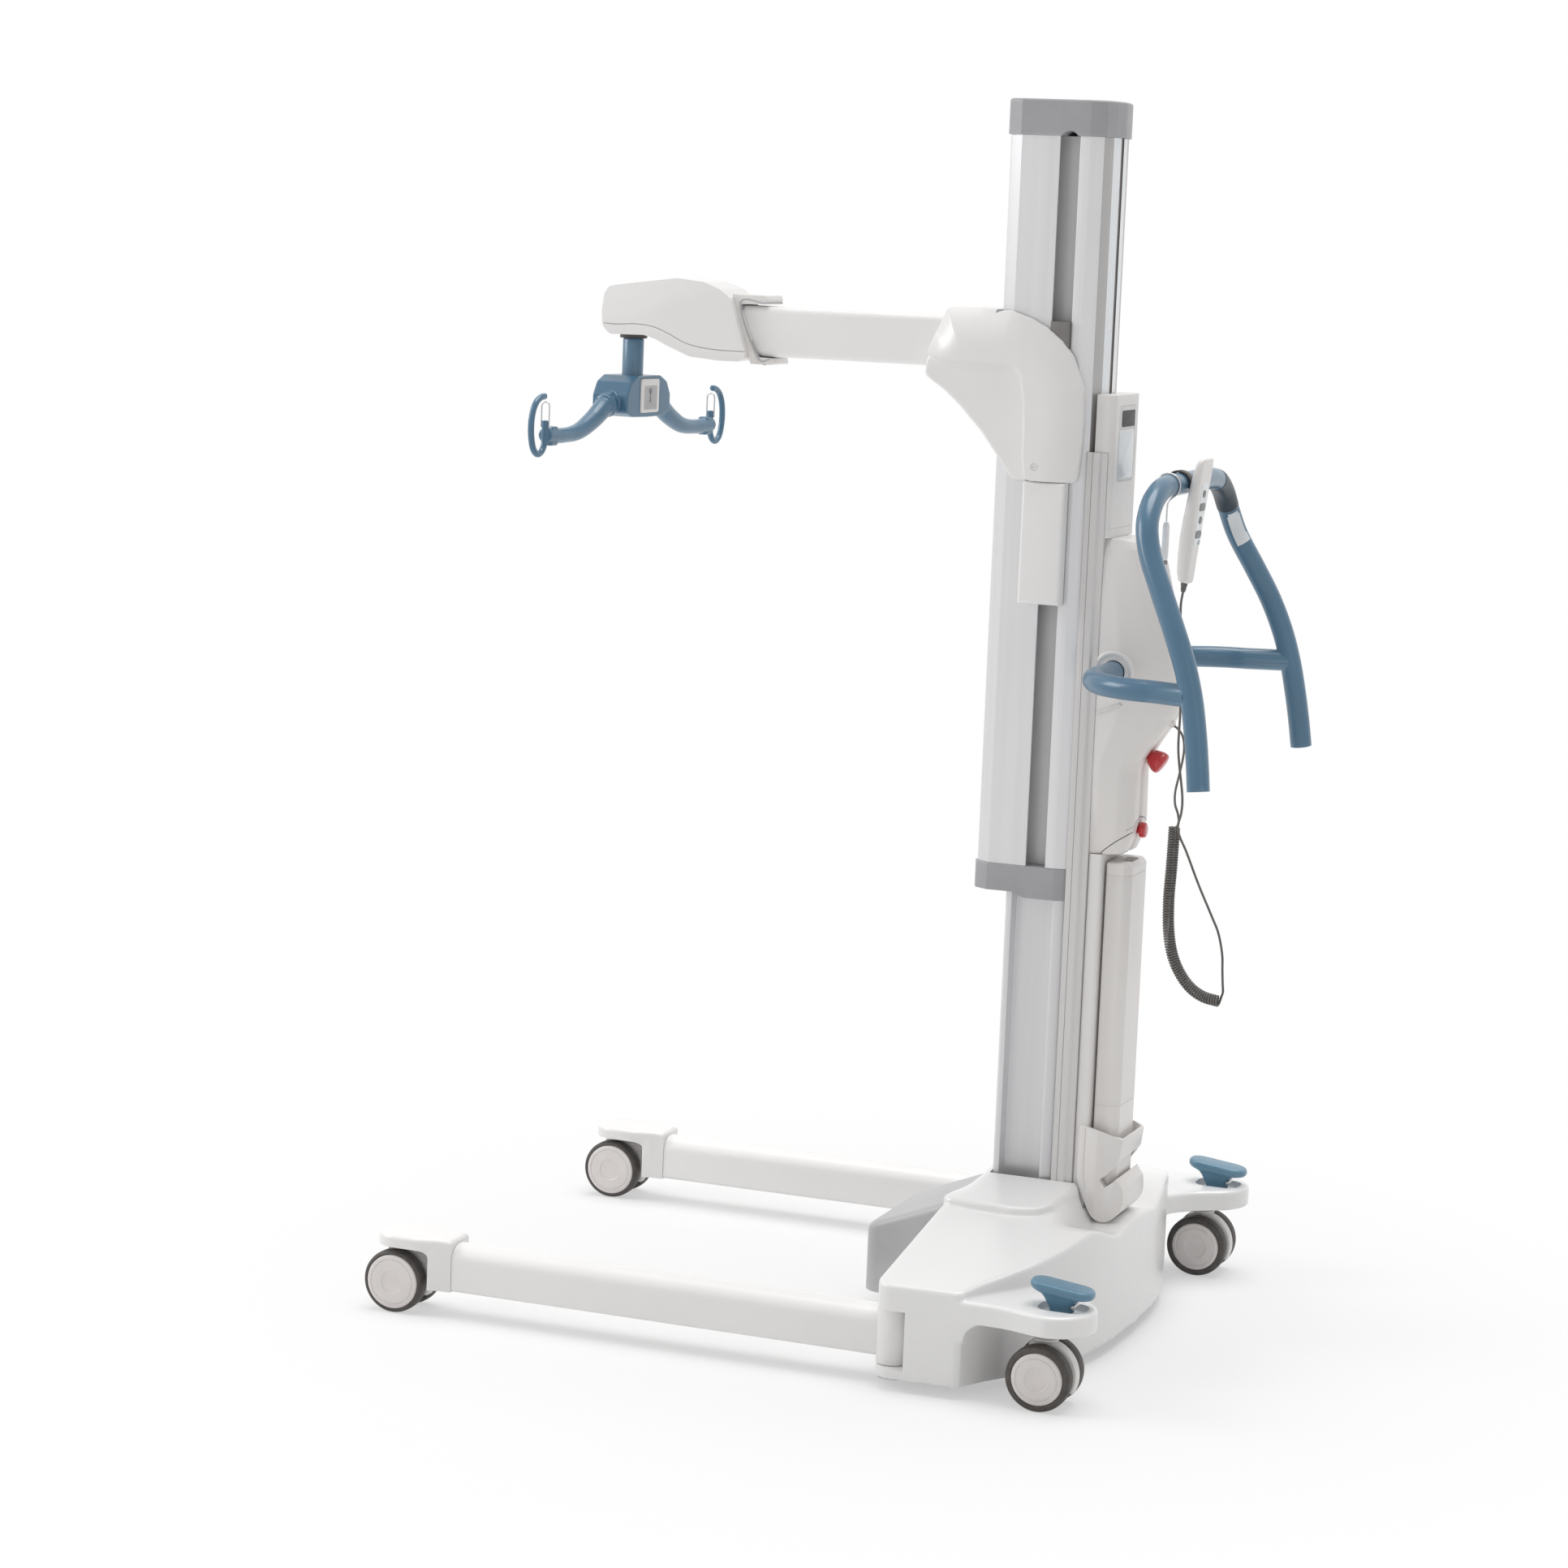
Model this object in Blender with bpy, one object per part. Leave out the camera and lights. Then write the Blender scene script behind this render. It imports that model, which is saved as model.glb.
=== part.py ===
# Patient floor lift: a base on castors, a telescopic mast, and an arm with a spreader bar.
# Metres, +Z up. The legs and the arm point along -Y, and +X is the machine's left.
# Sizes along Y are measured from the swivel axes of the rear castors.

import math

import bmesh
import bpy
from mathutils import Matrix, Vector
from mathutils.geometry import tessellate_polygon

for leftover in list(bpy.data.objects):
    bpy.data.objects.remove(leftover)

# Overall
GAP = 0.0003  # between pieces that touch
ORIGIN_Y = 0.4715  # from the middle of the lift to the rear castors

# Castors
WHEEL_R = 0.050
WHEEL_W = 0.028
WHEELS_APART = 0.057
AXLE_R = 0.006
AXLE_HALF = 0.032
STEM_R = 0.008
FORK_T = 0.020
BOSS_R = 0.019
NECK_R = 0.0118
BOSS_TOP = 0.1045
FRONT_HUB_R = 0.0432
REAR_HUB_R = 0.0398
CASTOR_SWEEP_R = 0.0695
LEG_X = 0.4195
FRONT_Y = -1.061
REAR_X = 0.430

# Legs
LEG_W = 0.060
LEG_LOW = 0.043
LEG_HIGH = 0.117
LEG_WALL = 0.0035
HOOD_HALF = 0.044
HOOD_LENGTH = 0.096  # behind the castor's swivel axis
HOOD_NOSE = 0.038
HOOD_TOP = 0.125
HOOD_ROOF = 0.106
PIVOT_X = 0.435
PIVOT_Y = -0.238
BARREL_R = 0.0245
BARREL_LOW = 0.0335
BARREL_HIGH = 0.1235
PIN_R = 0.012
PIN_SIDES = 16  # enough for the leg's bore to turn round the pin's corners

# Base
BASE_FRONT = -0.256
BASE_LOW = 0.020
ROOF_Z = 0.243
ROOF_SLOPE = 0.182
COVER_WALL = 0.004
CAVITY_HALF = 0.368
OUTRIGGER_LOW = 0.120
OUTRIGGER_HIGH = 0.153
OUTRIGGER_R = 0.066
CHASSIS_LOW = 0.0105
CHASSIS_DECK = 0.130
ARM_T = 0.0095
ARM_W = 0.040
DECK_Z = 0.253
PEDAL_Y = 0.0215
PEDAL_Z = 0.1465
DECK_HALF = 0.176

# Mast
MAST_LOW = 0.7403
MAST_HIGH = 1.8587
CAP_RISE = 0.0543  # of the top cap above the mast
CAP_HIGH = MAST_HIGH + CAP_RISE
CAP_LIP = 0.004
CAP_FIT = 0.0006  # between the bottom cap and the column that it slides on
COLUMN_HIGH = 1.400
BORE_R = 0.0135
BORE_FLOOR = 0.450
ROD_R = 0.012
ROD_LOW = 0.900
MAST_BACK = -0.104
SLOT_Y = -0.1665
REAR_COLUMN_HIGH = 1.385
REAR_COLUMN_FRONT = -0.1005
REAR_COLUMN_BACK = -0.0835
REAR_COLUMN_HALF = 0.066

# Carriage and arm
YOKE_HALF = 0.095
GUSSET_HALF = 0.085
YOKE_IN = 0.0725
YOKE_FRONT = -0.2715
ARM_HALF = 0.030
ARM_LOW = 1.501
ARM_HIGH = 1.580
ARM_TUBE_WALL = 0.004
HEAD_HALF = 0.050
BOOM_END = -0.775
SPINDLE_Y = -0.904
SPINDLE_R = 0.017
SPREADER_TURN = math.radians(-5)
HOOK_X = 0.2765
LOOP_TUBE_R = 0.0052
GATE_WIRE_R = 0.0013

# Control box and handle
BOX_HALF = 0.0645
BOX_LOW = 0.768
COLLAR_Y = -0.058
COLLAR_Z = 1.052
HANDLE_R = 0.017
BAR_Y = 0.028
BAR_Z = 1.345
HANDLE_FIT = 0.0010  # round the handle in its collars
HANDLE_HOLE_R = HANDLE_R + HANDLE_FIT
BATTERY_HALF = 0.048
BATTERY_LOW = 0.232
BATTERY_HIGH = 0.755
BATTERY_FRONT = -0.0585
BATTERY_BACK = -0.0185
POCKET_FRONT = -0.0745
POCKET_HALF = 0.0665

# Cord
STRAND_R = 0.0021
COIL_R = 0.0056
COIL_TURNS = 43
COIL_POINTS = 8

WHITE = ((0.86, 0.85, 0.83), 0.35, 0.0)
SHADED_WHITE = ((0.80, 0.79, 0.78), 0.40, 0.0)
PALE_GREY = ((0.76, 0.76, 0.77), 0.35, 0.2)
MID_GREY = ((0.55, 0.55, 0.57), 0.45, 0.0)
BLUE = ((0.11, 0.22, 0.34), 0.30, 0.0)
STEEL = ((0.55, 0.55, 0.56), 0.30, 1.0)
RED = ((0.70, 0.02, 0.03), 0.30, 0.0)
DARK = ((0.06, 0.055, 0.05), 0.55, 0.0)
CORD_GREY = ((0.16, 0.15, 0.14), 0.55, 0.0)

SMOOTH_STEPS = 24
PLACES = {}


# Helpers


def finish_material(name, finish):
    colour, roughness, metallic = finish
    made = bpy.data.materials.new(name)
    made.use_nodes = True
    shader = made.node_tree.nodes["Principled BSDF"]
    shader.inputs["Base Color"].default_value = (*colour, 1.0)
    shader.inputs["Roughness"].default_value = roughness
    shader.inputs["Metallic"].default_value = metallic
    return made


def pivot(name, at, parent=None, turn=(0.0, 0.0, 0.0)):
    """An empty on a joint's axis, or at the lift's own origin."""
    empty = bpy.data.objects.new(name, None)
    bpy.context.scene.collection.objects.link(empty)
    empty.parent = parent
    empty.rotation_euler = turn
    PLACES[name] = Vector(at)
    empty.location = Vector(at) - (PLACES[parent.name] if parent else Vector())
    return empty


def add(name, bm, finish, carrier, local=False, turn=(0.0, 0.0, 0.0)):
    """Turns a bmesh into the named object. Its points are in lift coordinates unless local."""
    if not local:
        bmesh.ops.translate(bm, vec=-PLACES[carrier.name], verts=bm.verts)
    bmesh.ops.remove_doubles(bm, verts=bm.verts, dist=1e-6)
    bmesh.ops.recalc_face_normals(bm, faces=bm.faces)
    mesh = bpy.data.meshes.new(name)
    bm.to_mesh(mesh)
    bm.free()
    mesh.shade_smooth()
    mesh.set_sharp_from_angle(angle=math.radians(32))
    mesh.materials.append(finish_material(name, finish))
    made = bpy.data.objects.new(name, mesh)
    bpy.context.scene.collection.objects.link(made)
    made.parent = carrier
    made.rotation_euler = turn
    return made


def boolean(bm, other, operation):
    """The bmesh after Blender's exact Boolean with another one."""
    pair = []
    for label, source in (("work", bm), ("tool", other)):
        bmesh.ops.recalc_face_normals(source, faces=source.faces)
        mesh = bpy.data.meshes.new(label)
        source.to_mesh(mesh)
        source.free()
        holder = bpy.data.objects.new(label, mesh)
        bpy.context.scene.collection.objects.link(holder)
        pair.append(holder)
    work, tool = pair
    modifier = work.modifiers.new("Boolean", "BOOLEAN")
    modifier.operation = operation
    modifier.solver = "EXACT"
    modifier.object = tool
    result = bmesh.new()
    result.from_object(work, bpy.context.evaluated_depsgraph_get())
    for holder in pair:
        bpy.data.objects.remove(holder)
    bmesh.ops.remove_doubles(result, verts=result.verts, dist=1e-6)
    return result


def cut(bm, *others):
    for other in others:
        bm = boolean(bm, other, "DIFFERENCE")
    return bm


def join(bm, *others):
    for other in others:
        bm = boolean(bm, other, "UNION")
    return bm


def on_axis(axis, u, v, w):
    """A point whose outline is (u, v) and whose height along the axis is w."""
    return {"X": (w, u, v), "Y": (u, w, v), "Z": (u, v, w)}[axis]


def prism(outline, low, high, axis="Z", holes=()):
    """An outline pushed along an axis, with holes that run right through."""
    bm = bmesh.new()
    loops = [list(outline)] + [list(hole) for hole in holes]
    points = [point for loop in loops for point in loop]
    lower = [bm.verts.new(on_axis(axis, u, v, low)) for u, v in points]
    upper = [bm.verts.new(on_axis(axis, u, v, high)) for u, v in points]
    if holes:
        flat = [[Vector((u, v, 0.0)) for u, v in loop] for loop in loops]
        for corners in tessellate_polygon(flat):
            bm.faces.new([lower[i] for i in corners])
            bm.faces.new([upper[i] for i in reversed(corners)])
    else:
        bm.faces.new(lower)
        bm.faces.new(list(reversed(upper)))
    start = 0
    for loop in loops:
        count = len(loop)
        for i in range(count):
            a = start + i
            b = start + (i + 1) % count
            bm.faces.new((lower[a], lower[b], upper[b], upper[a]))
        start += count
    bmesh.ops.recalc_face_normals(bm, faces=bm.faces)
    return bm


def box(low, high):
    """A box between two corners."""
    corners = [(low[0], low[1]), (high[0], low[1]), (high[0], high[1]), (low[0], high[1])]
    return prism(corners, low[2], high[2])


def bevel(bm, width, segments, test):
    """Rounds the edges whose two ends and direction pass the test."""
    chosen = [edge for edge in bm.edges if test(edge.verts[0].co, edge.verts[1].co)]
    bmesh.ops.bevel(
        bm, geom=chosen, offset=width, offset_type="OFFSET", segments=segments,
        profile=0.5, affect="EDGES", clamp_overlap=True,
    )
    return bm


def all_at(index, *values):
    """A bevel test: both ends lie at one of these values of X, Y or Z."""
    return lambda a, b: any(abs(a[index] - v) < 1e-5 and abs(b[index] - v) < 1e-5 for v in values)


def along(index):
    """A bevel test: the edge runs along X, Y or Z."""
    return lambda a, b: abs((b - a).normalized()[index]) > 0.999


def lathe(profile, steps, axis="Z", centre=(0.0, 0.0, 0.0)):
    """A profile of (radius, height) points turned about an axis."""
    bm = bmesh.new()
    verts = [bm.verts.new((radius, 0.0, height)) for radius, height in profile]
    edges = [bm.edges.new(pair) for pair in zip(verts, verts[1:])]
    bmesh.ops.spin(
        bm, geom=verts + edges, cent=(0, 0, 0), axis=(0, 0, 1), dvec=(0, 0, 0),
        angle=2 * math.pi, steps=steps, use_merge=True, use_duplicate=False,
    )
    bmesh.ops.remove_doubles(bm, verts=bm.verts, dist=1e-6)
    if axis == "X":
        bmesh.ops.rotate(bm, verts=bm.verts, matrix=Matrix.Rotation(math.pi / 2, 3, "Y"))
    if axis == "Y":
        bmesh.ops.rotate(bm, verts=bm.verts, matrix=Matrix.Rotation(-math.pi / 2, 3, "X"))
    bmesh.ops.translate(bm, vec=Vector(centre), verts=bm.verts)
    bmesh.ops.recalc_face_normals(bm, faces=bm.faces)
    return bm


def rod(radius, low, high, axis="Z", centre=(0.0, 0.0), steps=16):
    """A plain round bar along an axis, its centre given in the other two directions."""
    profile = [(0, low), (radius, low), (radius, high), (0, high)]
    place = {"X": (0, *centre), "Y": (centre[0], 0, centre[1]), "Z": (*centre, 0)}[axis]
    return lathe(profile, steps, axis, place)


def arc(centre, radius, start, end, count):
    """Points on an arc, its angles in degrees."""
    angles = [math.radians(start + (end - start) * i / count) for i in range(count + 1)]
    return [(centre[0] + radius * math.cos(a), centre[1] + radius * math.sin(a)) for a in angles]


def rounded(half_u, half_v, radius, centre=(0.0, 0.0), count=3):
    """A rectangle with round corners."""
    corners = ((1, 1, 0), (-1, 1, 90), (-1, -1, 180), (1, -1, 270))
    points = []
    for side_u, side_v, start in corners:
        middle = (centre[0] + side_u * (half_u - radius), centre[1] + side_v * (half_v - radius))
        points += arc(middle, radius, start, start + 90, count)
    return points


def mirrored(half):
    """Both halves of an outline whose given half has X from 0 up."""
    return list(half) + [(-x, y) for x, y in reversed(half) if x > 1e-9]


def offset(outline, distance):
    """A counter-clockwise outline moved outwards, or inwards where the distance is negative."""
    moved = []
    count = len(outline)
    for i in range(count):
        before, here, after = (Vector(outline[(i + k) % count]) for k in (-1, 0, 1))
        first = (here - before).normalized()
        second = (after - here).normalized()
        normal_a = Vector((first.y, -first.x))
        normal_b = Vector((second.y, -second.x))
        middle = (normal_a + normal_b).normalized()
        moved.append(tuple(here + middle * distance / max(middle.dot(normal_a), 0.35)))
    return moved


def loft(rings):
    """A closed body through rings of equally many points."""
    bm = bmesh.new()
    rows = [[bm.verts.new(point) for point in ring] for ring in rings]
    count = len(rows[0])
    for lower, upper in zip(rows, rows[1:]):
        for i in range(count):
            j = (i + 1) % count
            bm.faces.new((lower[i], lower[j], upper[j], upper[i]))
    bm.faces.new(rows[0])
    bm.faces.new(list(reversed(rows[-1])))
    bmesh.ops.recalc_face_normals(bm, faces=bm.faces)
    return bm


def smooth(route, count):
    """Points on a smooth curve through the route's own points, an even way apart."""
    route = [Vector(point) for point in route]
    ends = [2 * route[0] - route[1]] + route + [2 * route[-1] - route[-2]]
    fine = []
    for a, b, c, d in zip(ends, ends[1:], ends[2:], ends[3:]):
        for step in range(SMOOTH_STEPS):
            t = step / SMOOTH_STEPS
            fine.append(
                0.5 * (2 * b + (c - a) * t + (2 * a - 5 * b + 4 * c - d) * t ** 2
                       + (3 * b - a - 3 * c + d) * t ** 3)
            )
    fine.append(route[-1])
    along_it = [0.0]
    for a, b in zip(fine, fine[1:]):
        along_it.append(along_it[-1] + (b - a).length)
    points = []
    spot = 0
    for i in range(count):
        wanted = along_it[-1] * i / (count - 1)
        while spot < len(fine) - 2 and along_it[spot + 1] < wanted:
            spot += 1
        share = (wanted - along_it[spot]) / (along_it[spot + 1] - along_it[spot])
        points.append(fine[spot].lerp(fine[spot + 1], share))
    return points


def tube_curve(name, points, radius, resolution, radii=None):
    """A curve object with a round bevel and filled caps."""
    curve = bpy.data.curves.new(name, "CURVE")
    curve.dimensions = "3D"
    curve.bevel_depth = radius
    curve.bevel_resolution = resolution
    curve.use_fill_caps = True
    spline = curve.splines.new("POLY")
    spline.points.add(len(points) - 1)
    for i, point in enumerate(points):
        spline.points[i].co = (*point, 1.0)
        spline.points[i].radius = radii[i] if radii else 1.0
    made = bpy.data.objects.new(name, curve)
    bpy.context.scene.collection.objects.link(made)
    return made


def tube(points, radius, resolution=3, radii=None):
    """The same as a bmesh, for Booleans."""
    holder = tube_curve("tube", points, radius, resolution, radii)
    graph = bpy.context.evaluated_depsgraph_get()
    mesh = bpy.data.meshes.new_from_object(holder.evaluated_get(graph))
    bm = bmesh.new()
    bm.from_mesh(mesh)
    bpy.data.objects.remove(holder)
    bmesh.ops.remove_doubles(bm, verts=bm.verts, dist=1e-6)
    bmesh.ops.recalc_face_normals(bm, faces=bm.faces)
    return bm


def flip_x(bm):
    """The mirror image across the lift's middle."""
    bmesh.ops.scale(bm, vec=(-1, 1, 1), verts=bm.verts)
    bmesh.ops.recalc_face_normals(bm, faces=bm.faces)
    return bm


def roof(x):
    """Height of the base cover's top, which falls away to both sides."""
    return ROOF_Z - ROOF_SLOPE * (math.sqrt(x * x + 0.0016) - 0.04)


# Bodies


lift = pivot("lift", (0.0, 0.0, 0.0))
lift.location = (0.0, ORIGIN_Y, 0.0)
SIDES = (("left", 1), ("right", -1))
leg_pivots = {side: pivot(f"leg_pivot_{side}", (sign * PIVOT_X, PIVOT_Y, 0.0), lift) for side, sign in SIDES}
mast_slide = pivot("mast_slide", (0.0, SLOT_Y, 0.0), lift)
carriage_slide = pivot("carriage_slide", (0.0, SLOT_Y, 1.35), mast_slide)
spindle_axis = pivot("spindle_axis", (0.0, SPINDLE_Y, 1.43), carriage_slide, (0, 0, SPREADER_TURN))


# Castors


def wheel_mesh(hub_r):
    """One twin wheel: its outer side faces +X and a blind bore takes the axle from the inside."""
    half = WHEEL_W / 2
    bore = AXLE_R + GAP
    profile = [
        (0, AXLE_HALF - WHEELS_APART / 2 + GAP),
        (bore, AXLE_HALF - WHEELS_APART / 2 + GAP),
        (bore, -half),
        (WHEEL_R - 0.006, -half),
        (WHEEL_R, -half * 0.45),
        (WHEEL_R, half * 0.45),
        (WHEEL_R - 0.0045, half * 0.9),
        (hub_r, half - 0.0015),
        (hub_r - 0.0015, half + 0.0004),
        (0, half + 0.0004),
    ]
    return lathe(profile, 14, "X")


def fork_mesh(stem_top):
    """The body between the wheels, with its boss, stem and axle."""
    half = FORK_T / 2
    outline = arc((0, WHEEL_R), WHEEL_R + 0.0015, -28, 118, 9) + arc((0, WHEEL_R), 0.024, 150, 300, 3)
    web = prism(outline, -half, half, "X")
    boss = lathe([(0, 0.085), (NECK_R, 0.085), (NECK_R, 0.1012), (BOSS_R, 0.1016), (BOSS_R, BOSS_TOP),
                  (STEM_R, BOSS_TOP), (STEM_R, stem_top), (0, stem_top)], 12)
    axle = rod(AXLE_R, -AXLE_HALF, AXLE_HALF, "X", (0, WHEEL_R), 10)
    return join(web, boss, axle)


def castor(corner, at, carrier, hub_r, stem_top):
    """A fork on its swivel axis and two wheels on their axle."""
    swivel = pivot(f"swivel_{corner}", (*at, 0.0), carrier)
    add(f"castor_fork_{corner}", fork_mesh(stem_top), SHADED_WHITE, swivel, local=True)
    outward = 1 if at[0] > 0 else -1
    for place, way in (("outer", outward), ("inner", -outward)):
        axle = pivot(f"axle_{place}_{corner}", (at[0] + way * WHEELS_APART / 2, at[1], WHEEL_R), swivel)
        turned = 0.0 if way > 0 else math.pi
        add(f"wheel_{place}_{corner}", wheel_mesh(hub_r), SHADED_WHITE, axle, local=True, turn=(0, 0, turned))


def castors():
    for side, sign in SIDES:
        castor(f"front_{side}", (sign * LEG_X, FRONT_Y), leg_pivots[side], FRONT_HUB_R, HOOD_TOP - 0.006)
        castor(f"rear_{side}", (sign * REAR_X, 0.0), lift, REAR_HUB_R, CHASSIS_DECK + 0.008)


# Legs


def leg_outline(half, low, high, crown):
    """The leg's section: flat sides and a crowned top."""
    top = arc((0, high - crown), crown, 0, 180, 6)
    top = [(x * half / crown, z) for x, z in top]
    return [(-half + 0.006, low), (half - 0.006, low), (half, low + 0.006)] + top + [(-half, low + 0.006)]


def leg_bm():
    """The tube, and the barrel that turns on the base's pivot pin. X is measured from the tube's middle."""
    rear = PIVOT_Y
    front = FRONT_Y + HOOD_LENGTH + GAP
    half = LEG_W / 2
    outer = leg_outline(half, LEG_LOW, LEG_HIGH, 0.024)
    inner = leg_outline(half - LEG_WALL, LEG_LOW + LEG_WALL, LEG_HIGH - LEG_WALL, 0.022)
    shell = prism(outer, front, rear, "Y", [inner])
    shift = PIVOT_X - LEG_X
    barrel = lathe([(0, BARREL_LOW), (BARREL_R - 0.002, BARREL_LOW), (BARREL_R, BARREL_LOW + 0.002),
                    (BARREL_R, BARREL_HIGH - 0.002), (BARREL_R - 0.002, BARREL_HIGH), (0, BARREL_HIGH)],
                   16, "Z", (shift, PIVOT_Y, 0))
    plug = prism([(-half + 0.001, rear - 0.012), (half - 0.001, rear - 0.012),
                  (half - 0.001, rear), (-half + 0.001, rear)], LEG_LOW + 0.001, LEG_HIGH - 0.024)
    body = join(shell, plug, barrel)
    return cut(body, rod(PIN_R + GAP, 0.0, 0.2, "Z", (shift, PIVOT_Y), PIN_SIDES))


def hood_bm():
    """The casting over a front castor, with its arch. X is measured from the swivel axis."""
    nose = FRONT_Y - HOOD_NOSE
    rear = FRONT_Y + HOOD_LENGTH
    side = [(HOOD_HALF, FRONT_Y + 0.040), (LEG_W / 2 + 0.0015, rear - 0.022), (LEG_W / 2 + 0.0015, rear)]
    front = [(x * 1.16, FRONT_Y + (y - FRONT_Y) * 1.0) for x, y in arc((0, FRONT_Y), HOOD_NOSE, 270, 360, 6)]
    body = prism(mirrored(front + side), LEG_LOW, HOOD_TOP)
    body = bevel(body, 0.007, 2, all_at(2, HOOD_TOP))
    arch = lathe([(0, 0.0), (CASTOR_SWEEP_R, 0.0), (CASTOR_SWEEP_R, HOOD_ROOF - 0.012),
                  (CASTOR_SWEEP_R - 0.004, HOOD_ROOF - 0.003), (CASTOR_SWEEP_R - 0.012, HOOD_ROOF),
                  (0, HOOD_ROOF)], 20, "Z", (0, FRONT_Y, 0))
    stem = rod(STEM_R + GAP, 0.1, HOOD_TOP - 0.006 + GAP, "Z", (0, FRONT_Y), 12)
    return cut(body, arch, stem)


def legs():
    for side, sign in SIDES:
        leg = leg_bm()
        hood = hood_bm()
        if sign < 0:
            flip_x(leg)
            flip_x(hood)
        for bm in (leg, hood):
            bmesh.ops.translate(bm, vec=(sign * LEG_X, 0, 0), verts=bm.verts)
        add(f"leg_{side}", leg, WHITE, leg_pivots[side])
        add(f"leg_hood_{side}", hood, WHITE, leg_pivots[side])


# Base


def cover_outline():
    """The base's plan without its outriggers, counter-clockwise from the middle of the front."""
    corner = arc((0.452, BASE_FRONT + 0.025), 0.025, 270, 360, 4)
    side = [(0.468, -0.170), (0.461, -0.122), (0.450, -0.106), (0.425, -0.092), (0.388, -0.072), (0.335, -0.048),
            (0.278, -0.030), (0.200, -0.013), (0.110, 0.000), (0.0, 0.006)]
    return mirrored([(0.0, BASE_FRONT), (0.2, BASE_FRONT)] + corner + side)


def roofed(outline, low, sink, round_by):
    """A body on an outline whose top follows the roof, with a rounded edge."""
    rings = [[(x, y, low) for x, y in outline]]
    steps = 2
    for i in range(steps + 1):
        turn = math.pi / 2 * i / steps
        inward = offset(outline, -round_by * (1 - math.cos(turn)))
        rings.append([(x, y, 1.0 - round_by * (1 - math.sin(turn))) for x, y in inward])
    bm = loft(rings)
    for x in (-0.16, -0.05, 0.0, 0.05, 0.16):
        geometry = bm.verts[:] + bm.edges[:] + bm.faces[:]
        bmesh.ops.bisect_plane(bm, geom=geometry, dist=1e-6, plane_co=(x, 0, 0), plane_no=(1, 0, 0))
    for vert in bm.verts:
        if vert.co.z > 0.5:
            vert.co.z += roof(vert.co.x) - 1.0 - sink
    bmesh.ops.triangulate(bm, faces=[face for face in bm.faces if len(face.verts) > 4])
    return bm


def outrigger():
    """The plate over a rear castor, on the +X side."""
    disc = arc((REAR_X, 0.008), OUTRIGGER_R, -20, 160, 10)
    outline = [(0.300, -0.120), (0.462, -0.150), (0.463, -0.080), (0.470, -0.040)] + disc
    outline += [(0.345, -0.006), (0.300, -0.040)]
    plate = prism(outline, OUTRIGGER_LOW, OUTRIGGER_HIGH)
    return bevel(plate, 0.005, 1, all_at(2, OUTRIGGER_HIGH))


def deck():
    """The raised deck round the mast."""
    outline = mirrored([(0.0, -0.238), (0.110, -0.234), (DECK_HALF - 0.024, -0.212), (DECK_HALF, -0.165),
                        (DECK_HALF, -0.060), (DECK_HALF - 0.026, -0.024), (0.0, -0.008)])
    levels = ((0.190, 0.0), (0.214, 0.0), (DECK_Z - 0.005, 0.028), (DECK_Z, 0.040))
    return loft([[(x, y, z) for x, y in offset(outline, -inward)] for z, inward in levels])


def arm_run(width, thickness_low, thickness_high, end_r):
    """A flat arm from the chassis to a rear castor, on the +X side."""
    start = Vector((0.070, -0.150))
    end = Vector((REAR_X, 0.0))
    across = (end - start).normalized()
    across = Vector((-across.y, across.x)) * width / 2
    strip = prism([tuple(start - across), tuple(end - across), tuple(end + across), tuple(start + across)],
                  thickness_low, thickness_high)
    return join(strip, rod(end_r, thickness_low, thickness_high, "Z", tuple(end), 16))


def both_sides(make, bm, operation):
    """Joins or cuts a shape made for +X, and its mirror image."""
    bm = boolean(bm, make(), operation)
    return boolean(bm, flip_x(make()), operation)


def base_cover():
    outline = cover_outline()
    body = roofed(outline, BASE_LOW, 0.0, 0.010)
    body = both_sides(outrigger, body, "UNION")
    body = join(body, deck())
    cavity = roofed(offset(outline, -COVER_WALL), BASE_LOW - 0.01, COVER_WALL, 0.006)
    cavity = boolean(cavity, box((-CAVITY_HALF, -1.0, -1.0), (CAVITY_HALF, 1.0, 1.0)), "INTERSECT")
    body = cut(body, cavity)
    column = box((-REAR_COLUMN_HALF - 0.0035, -0.2165, 0.15), (REAR_COLUMN_HALF + 0.0035, -0.061, 0.3))
    body = cut(body, column, pocket_block(GAP))
    slot_low = CHASSIS_LOW + 0.030 - GAP
    slot_high = slot_low + 0.004 + 2 * GAP
    tongue_half = 0.045 + GAP
    body = cut(body, box((-tongue_half, BASE_FRONT - 0.01, slot_low), (tongue_half, BASE_FRONT + 0.02, slot_high)))
    mouth = lambda: box((0.383, -0.27, BARREL_LOW - GAP), (0.50, PIVOT_Y + 0.032, BARREL_HIGH + GAP))
    body = both_sides(mouth, body, "DIFFERENCE")
    pin = lambda: rod(PIN_R + GAP, 0.0, BARREL_HIGH + 0.008 + GAP, "Z", (PIVOT_X, PIVOT_Y), PIN_SIDES)
    body = both_sides(pin, body, "DIFFERENCE")
    low = OUTRIGGER_LOW - 0.001
    channel = lambda: arm_run(ARM_W + 2 * GAP, low, CHASSIS_DECK + GAP, 0.030 + GAP)
    body = both_sides(channel, body, "DIFFERENCE")
    stem = lambda: rod(STEM_R + GAP, 0.11, CHASSIS_DECK + 0.008 + GAP, "Z", (REAR_X, 0.0), 12)
    body = both_sides(stem, body, "DIFFERENCE")
    recess = lambda: prism(rounded(0.027, 0.034, 0.014, (REAR_X, PEDAL_Y)), PEDAL_Z - 0.005, 0.2)
    body = both_sides(recess, body, "DIFFERENCE")
    add("base_cover", body, WHITE, lift)


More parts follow.
